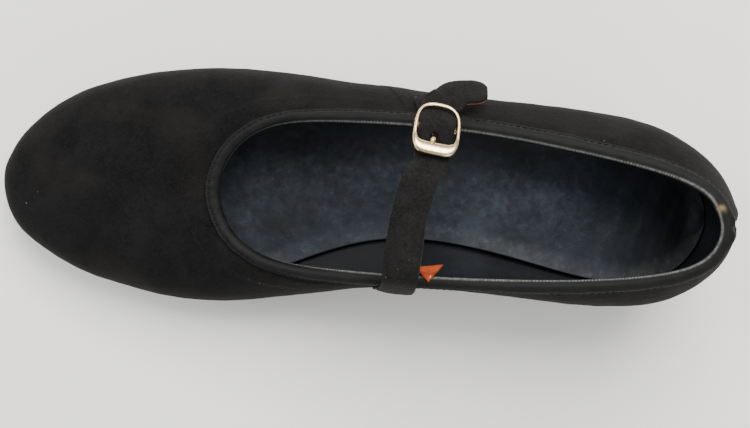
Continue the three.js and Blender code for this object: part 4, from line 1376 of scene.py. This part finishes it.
@dataclass
class Plates:
    """Aluminium toe and heel plates with countersunk slotted screws."""

    form: ShoeForm
    bottom: Bottom
    head: float = 3.1
    core: float = 1.25
    cone: float = 1.5
    sunk: float = 0.15
    toe_places: tuple = (("front", -0.435, 0.0), ("outer", -0.28, 0.3), ("inner", -0.28, -0.3))
    heel_places: tuple = (("back", 0.43, -0.14), ("outer", 0.29, 0.08), ("inner", 0.29, -0.32))

    def place(self, x: float, y: float, z: float, tilt: float) -> Callable[[Array], Array]:
        """Moves a turned piece to a place, leaning by tilt along the shoe."""
        c, s = math.cos(tilt), math.sin(tilt)
        return lambda p: np.stack([x + p[:, 0] * c + p[:, 2] * s, y + p[:, 1],
                                   z - p[:, 0] * s + p[:, 2] * c], -1)

    def screw(self, name: str, place: Callable[[Array], Array], length: float,
              turn: float) -> bpy.types.Object:
        """A countersunk screw, head down, with its slot cut at an angle."""
        r, rim = self.head, 0.22
        body = turned(name, [(0, 0), (r - 0.5, 0), (r - 0.12, 0.05), (r, rim), (self.core, self.cone + rim),
                             (self.core, length - 0.8), (0, length)], 40, place)
        blade = np.array([[a * 4.2, b * 0.42, c] for a in (-1, 1) for b in (-1, 1) for c in (-1, 0.55)])
        spun = np.stack([blade[:, 0] * math.cos(turn) - blade[:, 1] * math.sin(turn),
                         blade[:, 0] * math.sin(turn) + blade[:, 1] * math.cos(turn), blade[:, 2]], -1)
        quads = ((0, 1, 3, 2), (4, 6, 7, 5), (0, 4, 5, 1), (2, 3, 7, 6), (0, 2, 6, 4), (1, 5, 7, 3))
        return shade(carve(body, [mesh_object("slot_tool", place(spun), quads, False)]))

    def sink(self, place: Callable[[Array], Array]) -> bpy.types.Object:
        """The tool that cuts a screw's seat."""
        r = self.head + 0.14
        return turned("sink_tool", [(0, -1), (r, -1), (r, 0.3), (self.core + 0.2, self.cone + 0.4),
                                    (self.core + 0.2, 3.5), (0, 3.5)], 40, place, False)

    def build(self, finish: Wardrobe) -> None:
        """Makes and dresses the plates and screws."""
        f, b = self.form, self.bottom
        outline = b.cut(b.whole(1.6, 260), b.tap_rear_x * f.length, True)
        toe = b.under_sole("toe_plate", outline, f.tap_thick, reach=38, round_off=0.45)
        heel = b.slab("heel_plate", lambda d: b.heel_pairs(b.draw + 0.7 + d), lambda x: 0.0,
                      lambda x: f.tap_thick, round_off=0.4)
        toe_spots, heel_spots = [], []
        for name, u, v in self.toe_places:
            x = u * f.length
            slope = math.atan(float(f.sole_under(x + 1) - f.sole_under(x - 1)) / 2)
            z = float(f.sole_under(x)) - b.gap - f.tap_thick + self.sunk
            toe_spots.append((name, self.place(x, v * f.ball_width, z, -slope)))
        for name, u, v in self.heel_places:
            heel_spots.append((name, self.place(u * f.length, v * f.ball_width, self.sunk, 0.0)))
        for end, plate, spots, length, turn, step in (("toe", toe, toe_spots, 4.3, 0.5, 1.0),
                                                      ("heel", heel, heel_spots, 13.0, 1.4, 0.8)):
            carve(plate, [self.sink(p) for _, p in spots])
            shade(dress(plate, finish.alu, "root", "tap_aluminium", f"{end}_tap"))
            for k, (name, p) in enumerate(spots):
                screw = self.screw(f"{end}_screw_{name}", p, length, turn + k * step)
                dress(screw, finish.steel, "root", "steel", f"{end}_tap_screw_{name}")


# --------------------------------------------------------------------------------------------- the fastening
@dataclass
class BuckleFrame:
    """Where the buckle sits and the directions that it lies in."""

    form: ShoeForm
    buckle_x: float = 0.089
    tilt: float = math.radians(27)
    skew: float = 0.2
    width: float = 15.6
    inner_end: float = 11.3
    outer_end: float = 7.6
    wide_bar: float = 4.4
    bar_radius: float = 0.8
    bar_drop: float = -3.5
    gap: float = 0.3
    tab_thick: float = 0.7
    tab_half: float = 4.2
    binding: float = 0.7
    t: float = field(init=False)
    bar: Array = field(init=False)
    u: Array = field(init=False)
    v: Array = field(init=False)
    w: Array = field(init=False)

    def __post_init__(self) -> None:
        """Works out the bar's place and the three directions."""
        self.t = self.form.top_at(self.buckle_x * self.form.length, Side.OUTER)
        self.bar = self.form.ribs(np.array([self.t]))[0, 3] + np.array([0, -0.6, 8.5])
        flat = math.sqrt(1 - self.skew ** 2)
        level, rise = math.cos(self.tilt), math.sin(self.tilt)
        self.v = np.array([-self.skew * level, -flat * level, rise])
        self.u = np.array([flat, -self.skew, 0.0])
        w = -np.cross(self.u, self.v)
        self.w = unit(w if w[2] > 0 else -w)

    def at(self, u: Array, v: Array, w: Array) -> Array:
        """Points given across the strap, along it and outwards from it."""
        out = self.bar
        for far, way in ((u, self.u), (v, self.v), (w, self.w)):
            out = out + np.multiply.outer(np.asarray(far, float), way)
        return out

    def down(self, s: float, lift: float, shift: float = 0.0) -> Array:
        """A point off the quarter below the buckle."""
        p, n = self.form.down(np.array([self.t + shift]), np.array([s]))
        return (p + n * lift)[0, 0]


@dataclass
class Buckle:
    """Cast frame with a wide domed end, its bar, its prong and the leather tab that holds it."""

    seat: BuckleFrame
    thin: float = 1.3
    leg: float = 0.65

    def ring(self) -> bpy.types.Object:
        """The frame: narrow wire round three sides and a broad domed fourth."""
        b = self.seat
        a = np.arange(220) / 220 * TURN
        c, s = np.cos(a), np.sin(a)
        squared = lambda power: 1 / (np.abs(c) ** power + np.abs(s) ** power) ** (1 / power)  # noqa: E731
        r, q = squared(np.where(s > 0, 3.8, 2.75)), squared(np.where(s > 0, 5.5, 3.0))
        taper = 1 - 0.06 * (1 - s) / 2
        far = b.outer_end - 0.5
        middle, long = (b.inner_end - far) / 2, (b.inner_end + far) / 2
        out_u, out_v = b.width / 2 * c * r * taper, middle + long * s * r
        v0, v1 = -far + self.thin, b.inner_end - b.wide_bar
        in_u, in_v = (b.width / 2 - self.thin) * c * q * taper, (v0 + v1) / 2 + (v1 - v0) / 2 * s * q
        turn = np.linspace(0, TURN, 25)[:-1]
        across = 0.5 - 0.5 * root_power(np.cos(turn), 0.75)
        wide = ease((s * q - 0.35) / 0.6)
        domed = np.where(np.sin(turn) > 0, 1.0, 0.55) * root_power(np.sin(turn), 0.8)
        high = (0.95 + 0.35 * wide)[:, None] * domed
        uu = in_u[:, None] + (out_u - in_u)[:, None] * across
        vv = in_v[:, None] + (out_v - in_v)[:, None] * across
        return swept("buckle_casting", b.at(uu, vv, high - 0.1), ring=True)

    def rod(self, name: str, line: Array, radius: Array, sides: int = 20) -> bpy.types.Object:
        """A round rod along points given in the buckle's directions.

        Args:
            name: The piece's name.
            line: Rows of (u, v, w).
            radius: Radius at each row.
            sides: Steps round.

        Returns:
            The object.
        """
        b = self.seat
        p = b.at(line[:, 0], line[:, 1], line[:, 2])
        d = unit(np.gradient(p, axis=0))
        side = unit(np.cross(d, b.w + 0.01 * b.v))
        other = np.cross(side, d)
        a = (np.arange(sides) + 0.5) / sides * TURN
        grid = p[:, None] + side[:, None] * (radius[:, None] * np.cos(a))[..., None] \
            + other[:, None] * (radius[:, None] * np.sin(a))[..., None]
        return swept(name, grid)

    def band(self, name: str, u0: float, u1: float, inner: float, outer: float, start: float = 0.0,
             end: float = TURN) -> bpy.types.Object:
        """A band of metal or leather round the bar, between two places across it."""
        b = self.seat
        whole = end - start > 6.28
        a = np.linspace(start, end, 49)[:-1] if whole else np.linspace(start, end, 40)
        e = min(0.18, (outer - inner) * 0.3)
        us = np.array([u0, u1, u1, u1 - e, u0 + e, u0])
        rs = np.array([inner, inner, outer - e, outer, outer, outer - e])
        grid = b.at(np.broadcast_to(us, (len(a), 6)), rs[None] * np.cos(a)[:, None],
                    b.bar_drop + rs[None] * np.sin(a)[:, None])
        return swept(name, grid, ring=whole)

    def prong(self) -> list[bpy.types.Object]:
        """The eye round the bar and the tongue that comes up through the strap."""
        b = self.seat
        line = Route([np.array(q) for q in ((0, 1.0, b.bar_drop + 1.4), (0, 2.6, -3.0), (-0.2, 4.3, -2.5),
                                            (-0.5, 5.4, -0.9), (-0.9, 6.4, 0.7), (-1.3, 7.5, 1.35))])
        f = np.linspace(0, 1, 44)
        p, _ = line.at(f)
        point = np.where(f < 0.82, 1, np.sqrt(np.clip(1 - ((f - 0.82) / 0.185) ** 2, 0.04, 1)))
        radius = (0.8 + 0.22 * ease((f - 0.5) / 0.3)) * point
        return [self.rod("prong_tongue", p, radius),
                self.band("prong_eye", -0.9, 0.9, b.bar_radius + 0.22, b.bar_radius + 0.98)]

    def tab(self) -> list[bpy.types.Object]:
        """The tab: two ears round the bar, joined below and sewn to the quarter."""
        b = self.seat
        inner = b.bar_radius + b.gap
        pieces = [self.band(f"tab_ear_{name}", u0, u1, inner, inner + b.tab_thick)
                  for name, u0, u1 in (("front", -b.tab_half, -1.5), ("back", 1.5, b.tab_half))]
        off = b.gap + b.binding + b.gap + b.tab_thick / 2
        line = Route([b.at(0, -1.0, b.bar_drop - 1.05), b.at(0, -4.5, b.bar_drop - 0.6), b.down(0.2, 2.9),
                      b.down(5, off), b.down(9.5, off), b.down(14, off)])
        f = np.linspace(0, 1, 60)
        p, d = line.at(f)
        top = unit(b.down(9, 0, -0.01) - b.down(9, 0, 0.01))
        k = ease(f / 0.5)[:, None]
        wide = b.u[None] * (1 - k) + top[None] * k
        wide = unit(wide - d * (wide * d).sum(1, keepdims=True))
        rise = np.cross(wide, d)
        end = np.sqrt(np.clip(1 - ((f - 0.9) / 0.1) ** 2, 0.25, 1)) * (f > 0.9) + (f <= 0.9)
        places = np.array([-1.0, -0.5, 0, 0.5, 1.0])
        us = (b.tab_half * end)[:, None] * places
        hs = b.tab_thick / 2
        middle = p[:, None] + wide[:, None] * us[..., None]
        outer = middle + rise[:, None] * (hs - 0.16 * (np.abs(places) > 0.9))[:, None]
        pieces.append(swept("tab_strip", between(outer, middle - rise[:, None] * hs)))
        sew = p[38:] + rise[38:] * hs * np.sign(float(rise[50] @ self.outside()))
        for name, k2 in (("front", -1), ("back", 1)):
            edge = sew + wide[38:] * (k2 * (b.tab_half * end[38:] - 1.0))[:, None]
            normals = np.tile(self.outside(), (len(edge), 1))
            pieces.append(thread_row(f"tab_stitches_{name}", edge, normals, pitch=2.0, length=1.3,
                                     radius=0.17, lift=0.02))
        return pieces

    def outside(self) -> Array:
        """Outward direction of the quarter under the tab."""
        return unit(self.seat.down(9, 1.0) - self.seat.down(9, 0.0))

    def build(self, finish: Wardrobe) -> None:
        """Makes and dresses the buckle."""
        b = self.seat
        gold = finish.gold, "buckle", "buckle_gold"
        dress(self.ring(), *gold, "buckle_frame")
        post = b.width / 2 * 0.97 - self.leg
        n = 30
        bar = np.stack([np.linspace(-post, post, n), np.zeros(n), np.full(n, b.bar_drop)], 1)
        dress(self.rod("buckle_bar", bar, np.full(n, b.bar_radius)), *gold)
        for name, u in (("front", -post), ("back", post)):
            leg = np.stack([np.full(12, u), np.zeros(12), np.linspace(b.bar_drop - 0.6, 0.2, 12)], 1)
            dress(self.rod(f"buckle_leg_{name}", leg, np.full(12, self.leg)), *gold)
        tongue, eye = self.prong()
        dress(tongue, finish.gold, "prong", "buckle_gold", "buckle_prong")
        dress(eye, finish.gold, "prong", "buckle_gold")
        for piece in self.tab():
            stitched = "stitches" in piece.name
            nodes = ("buckle_tab",) if piece.name == "tab_strip" else ()
            if not stitched:
                paint(piece, "dust", np.full(len(piece.data.vertices), 0.1))
            dress(piece, finish.thread if stitched else finish.strap_suede, "root", "suede", *nodes)


@dataclass
class Strap:
    """Suede instep strap lined in tan leather, sewn to the inner quarter and passed through the buckle."""

    seat: BuckleFrame
    strap_x: float = 0.042
    width: float = 11.4
    suede: float = 1.1
    gap: float = 0.3
    lining: float = 0.8
    binding: float = 0.7
    steps: int = 300
    across: int = 17
    tail: tuple = ((4.3, 7.4, -7.7), (7.6, 9.7, -9.5), (12.6, 10.2, -10.1), (17.6, 9.6, -9.9))
    tail_across: tuple = (0.20, -0.60, 0.775)
    tail_turn: tuple = (0.79, 0.955)
    sewn: float = 8.6
    t: float = field(init=False)

    def __post_init__(self) -> None:
        """Finds where the strap is sewn."""
        self.t = self.seat.form.top_at(self.strap_x * self.seat.form.length, Side.INNER)

    @property
    def stack(self) -> float:
        """Thickness of the strap with its lining."""
        return self.suede + self.gap + self.lining

    def base(self, s: float) -> Array:
        """A point of the strap's middle over the inner quarter."""
        p, n = self.seat.form.down(np.array([self.t]), np.array([s]))
        return (p + n * (self.gap + self.binding + self.gap + self.stack / 2))[0, 0]

    def route(self) -> Route:
        """The strap's line from its sewn end to its tail."""
        b = self.seat
        low = self.base(1.0)
        span = lambda dx, f, h: np.append(  # noqa: E731
            low[:2] * (1 - f) + b.bar[:2] * f + (dx, 0), b.bar[2] + h)
        under = -2.0 - self.stack / 2
        over = b.bar_drop + b.bar_radius + b.gap + b.tab_thick + b.gap + self.stack / 2
        beside = lambda x, y, z: b.bar + np.array([x, y, z])  # noqa: E731
        return Route([self.base(self.sewn), self.base(5.5), low + UP * 0.8,
                      span(-1.2, 0.10, 0.4), span(-2.6, 0.28, 5.0), span(-3.6, 0.48, 7.4),
                      span(-2.6, 0.68, 6.6),
                      b.at(0, b.inner_end + 1.5, under - 0.55), b.at(0, b.inner_end - 2.8, under - 0.4),
                      b.at(0, 4.6, under + 1.2), b.at(0, 0, over), b.at(0, -3.6, under + 1.2),
                      b.at(0, -b.outer_end + 0.4, under), *(beside(*q) for q in self.tail)])

    def frames(self) -> tuple[Array, Array, Array, Array]:
        """Middle points, directions across, directions out of the suede, and fractions along."""
        route = self.route()
        f = np.linspace(0, 1, self.steps)
        p, d = route.at(f)
        form = self.seat.form
        ends = form.down(np.array([self.t - 0.01, self.t + 0.01]), np.array([0.0]))[0][:, 0]
        top = unit(ends[0] - ends[1])
        top = top if top[0] > 0 else -top
        k = ease((f - 0.26) / 0.36)[:, None]
        wide = top[None] * (1 - k) + self.seat.u[None] * k
        k = ease((f - self.tail_turn[0]) / (self.tail_turn[1] - self.tail_turn[0]))[:, None]
        wide = wide * (1 - k) + np.array(self.tail_across) * k
        wide = unit(wide - d * (wide * d).sum(1, keepdims=True))
        return p, wide, np.cross(wide, d), f

    def ribbon(self, name: str, low: float, high: float, narrow: float, start: float,
               crown: float) -> bpy.types.Object:
        """One layer of the strap.

        Args:
            name: The piece's name.
            low: Its lower face over the middle.
            high: Its upper face.
            narrow: How much narrower it is than the strap.
            start: Fraction along at which it begins.
            crown: How far its edges are rounded.

        Returns:
            The object.
        """
        p, wide, up, f = self.frames()
        keep = f >= start
        p, wide, up, f = p[keep], wide[keep], up[keep], f[keep]
        total = self.route().total
        left = (1 - f) * total
        tail = np.where(left < 4.5, np.sqrt(np.clip(1 - (1 - left / 4.5) ** 2, 0.10, 1)), 1.0)
        ragged = 1 + 0.012 * wander(p, 9, 41) + 0.006 * wander(p, 2.5, 42)
        half = (self.width - narrow) / 2 * (0.35 + 0.65 * tail) * ragged
        half *= 1 + 0.05 * hump(f, 0.30, 0.08)
        a = root_power(np.linspace(-1, 1, self.across), 0.8)
        drop = crown * np.abs(a) ** 5
        curl = 0.25 * a ** 2 * (0.5 + 0.5 * np.sin(f * 22))[:, None]
        base = p[:, None] + wide[:, None] * (half[:, None] * a)[..., None]
        wave = 0.12 * wander(base, 12, 43)
        over = base + up[:, None] * (high - drop - curl + wave)[..., None]
        under = base + up[:, None] * (low - curl + wave)[..., None]
        s = self.sewn - f * total
        near = s > 0.3
        if near.any():
            k = ease((s[near] - 0.4) / 3.8)[:, None, None]
            wall, n = self.on_wall(s[near], half[near, None] * a)
            rest = low if start > 0 else high - self.suede
            lift = 0.1 + (self.gap + self.binding + 0.35) * (1 - ease((s[near] - 3.2) / 2.4))[:, None]
            for face, h in ((over, high - drop), (under, low)):
                face[near] = face[near] * (1 - k) + (wall + n * (lift + h - rest)[..., None]) * k
        obj = swept(name, between(over, under))
        paint(obj, "dust", 0.12 + 0.25 * ease(wander(points_of(obj), 24, 44)))
        return obj

    def on_wall(self, s: Array, shift: Array) -> tuple[Array, Array]:
        """Points and normals of the quarter under the sewn end.

        Args:
            s: Distance below the top line of each row, (n,).
            shift: Distance across the strap of each point, (n, m), millimetres.

        Returns:
            Points and unit normals, (n, m, 3).
        """
        form = self.seat.form
        ends = form.down(np.array([self.t - 0.01, self.t + 0.01]), np.array([5.0]))[0][:, 0]
        per = 0.02 / np.linalg.norm(ends[1] - ends[0])
        columns = [form.down(self.t + shift[:, j] * per, s[:, None]) for j in range(shift.shape[1])]
        return np.stack([c[0][:, 0] for c in columns], 1), np.stack([c[1][:, 0] for c in columns], 1)

    def hole(self, v0: float, v1: float, half: float) -> bpy.types.Object:
        """The tool that cuts the slot for the prong."""
        b = self.seat
        a = np.arange(28) / 28 * TURN
        v = (v0 + v1) / 2 + (v1 - v0) / 2 * root_power(np.sin(a), 0.7)
        rows = [b.at(half * np.cos(a) - 0.4, v, np.full(28, w)) for w in (-7.0, 5.0)]
        return swept("slot_tool", np.stack(rows), smooth=False)

    def build(self, finish: Wardrobe) -> None:
        """Makes and dresses the strap."""
        low = -self.stack / 2
        middle = low + self.lining
        hinge = self.base(5.5)
        lead = unit(self.base(3.0) - hinge)
        suede = self.ribbon("strap_outer", middle + 0.04, self.stack / 2, 0.0, 0.0, 0.30)
        carve(suede, [self.hole(2.9, 7.1, 1.5)])
        lining = self.ribbon("strap_inner", low, middle, 1.4, 0.09, -0.02)
        carve(lining, [self.hole(1.2, 7.1, 1.6)])
        dress(shade(suede, 50), finish.strap_suede, "", "suede", "strap", "strap_anchor")
        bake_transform(suede)
        dress(shade(lining, 50), finish.tan, "", "tan_leather", "strap_lining")
        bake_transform(lining)
        p, wide, up, f = self.frames()
        total = self.route().total
        for name, side in (("front", -1), ("back", 1)):
            keep = (f * total > self.sewn + 1) & (f * total < total - 4)
            edge = p + wide * side * (self.width / 2 - 1.35)
            edge = (edge + up * (self.stack / 2 - 0.30))[keep]
            row = thread_row(f"strap_stitches_{name}", edge, up[keep], pitch=2.0, length=1.2,
                             radius=0.13, lift=-0.02)
            dress(row, finish.thread, "", "suede")
            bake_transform(row)


@dataclass
class StrapGusset:
    """Small tan triangle between the strap's root and the quarter, with its white stitches."""

    seat: BuckleFrame
    corners: tuple = ((16.0, -25.2, 60.4), (25.2, -24.6, 60.2), (20.3, -30.4, 59.9))
    thick: float = 0.8

    def build(self, finish: Wardrobe) -> None:
        """Makes and dresses the triangle."""
        a, b, c = (np.array(q) for q in self.corners)
        n = unit(np.cross(b - a, c - a))
        n = n if n[2] > 0 else -n
        rows = []
        for k in np.linspace(0, 0.97, 18):
            left, right = a * (1 - k) + c * k, b * (1 - k) + c * k
            u = np.linspace(0, 1, 12)[:, None]
            line = left * (1 - u) + right * u
            rows.append(line + n * (0.25 * wander(line, 5, 51) + 0.35 * np.sin(u * math.pi))[:, :1])
        grid = np.stack(rows)
        obj = swept("strap_gusset", between(grid, grid - n * self.thick))
        dress(obj, finish.orange, "root", "tan_leather")
        foot = a * 0.35 + b * 0.65
        line = foot + (c - foot) * np.linspace(0.12, 0.85, 12)[:, None]
        row = thread_row("gusset_stitches", line + n * 0.35, np.tile(n, (12, 1)), pitch=1.5, length=1.0,
                         radius=0.17)
        dress(row, finish.white_thread, "root", "tan_leather")


# --------------------------------------------------------------------------------------------- stage
@dataclass
class Studio:
    """Plain pale floor, soft light and the camera, over the shoe and a little in front of the toe."""

    target: tuple = (4.0, -9.0, 45.0)
    reach: float = 430.0
    lean: float = math.radians(5)
    lens: float = 61.06
    floor: Colour = (0.975, 0.955, 0.905)

    def camera(self) -> None:
        """Makes the camera."""
        data = bpy.data.cameras.new("camera")
        data.lens, data.sensor_width, data.clip_start = self.lens, 36.0, 0.01
        cam = bpy.data.objects.new("camera", data)
        bpy.context.scene.collection.objects.link(cam)
        back = unit(np.array([-math.tan(self.lean), math.tan(self.lean), 1.0]))
        right = unit(np.cross([0, 1, 0], back))
        up = np.cross(back, right)
        where = (np.array(self.target) + back * self.reach) * MM
        cam.matrix_world = Matrix([[right[k], up[k], back[k], where[k]] for k in range(3)] + [[0, 0, 0, 1]])
        bpy.context.scene.camera = cam

    def light(self, name: str, place: tuple, size: float, power: float, colour: Colour) -> None:
        """Adds a square soft light aimed at the shoe."""
        data = bpy.data.lights.new(name, "AREA")
        data.size, data.energy, data.color = size, power, colour
        obj = bpy.data.objects.new(name, data)
        obj.location = place
        obj.rotation_euler = (Vector(place) - Vector((0, 0, 0.03))).to_track_quat("Z", "Y").to_euler()
        bpy.context.scene.collection.objects.link(obj)

    def build(self) -> None:
        """Makes the floor, the lights and the camera."""
        n = 24
        xs = np.linspace(-2500, 2500, n)
        grid = np.array([[x, y, 0.0] for x in xs for y in xs])
        faces = [(k, k + n, k + n + 1, k + 1) for k in range(n * (n - 1)) if (k + 1) % n]
        ground = mesh_object("floor", grid, faces)
        s = Shader("paper")
        s.colour(s.mix(s.noise(3, 3, 0.5), self.floor, tuple(c * 0.97 for c in self.floor)))
        s.set(Roughness=0.95, Specular_IOR_Level=0.1)
        ground.data.materials.append(s.material)
        ground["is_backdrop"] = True
        world = bpy.data.worlds.new("studio")
        world.use_nodes = True
        sky = world.node_tree.nodes["Background"]
        sky.inputs["Color"].default_value = (0.93, 0.96, 1.0, 1)
        sky.inputs["Strength"].default_value = 0.62
        bpy.context.scene.world = world
        for name, place, size, power, colour in (
                ("key", (0.15, 0.80, 1.15), 0.9, 33.0, (1.0, 0.985, 0.955)),
                ("window", (-0.95, 0.35, 0.8), 0.6, 7.5, (0.94, 0.97, 1.0)),
                ("rim", (0.6, -0.95, 0.8), 0.8, 5.0, (1.0, 0.97, 0.92))):
            self.light(name, place, size, power, colour)
        self.camera()


HIDDEN = {"toe_puff": "felt", "heel_counter": "board", "throat_tape": "felt", "insole_board": "board",
          "cork_filler": "cork", "shank": "steel", "heel_nail_1": "steel", "heel_nail_2": "steel",
          "heel_nail_3": "steel", "heel_nail_4": "steel"}


def dress_hidden(finish: Wardrobe) -> None:
    """Gives the parts inside the shoe their finishes."""
    for name, material in HIDDEN.items():
        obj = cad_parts[name]
        obj.data.materials.clear()
        obj.data.materials.append(getattr(finish, material))
        LOG.info("%s: kept from the frame", name)


def main() -> None:
    """Builds the shoe, piece by piece."""
    logging.basicConfig(level=logging.INFO, format="%(name)s %(message)s")
    cad_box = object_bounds()
    finish = Wardrobe()
    form = ShoeForm()
    bottom = Bottom(form)
    seat = BuckleFrame(form)
    for part in (Upper(form), Binding(form), Linings(form), bottom, Plates(form, bottom), Strap(seat),
                 StrapGusset(seat), Buckle(seat)):
        part.build(finish)
        LOG.info("%s done", type(part).__name__)
    dress_hidden(finish)
    Studio().build()
    as_lists = lambda box: [[float(v) for v in corner] for corner in box]  # noqa: E731
    {"cad": as_lists(cad_box), "visual": as_lists(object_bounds())}


if __name__ == "__main__":
    main()
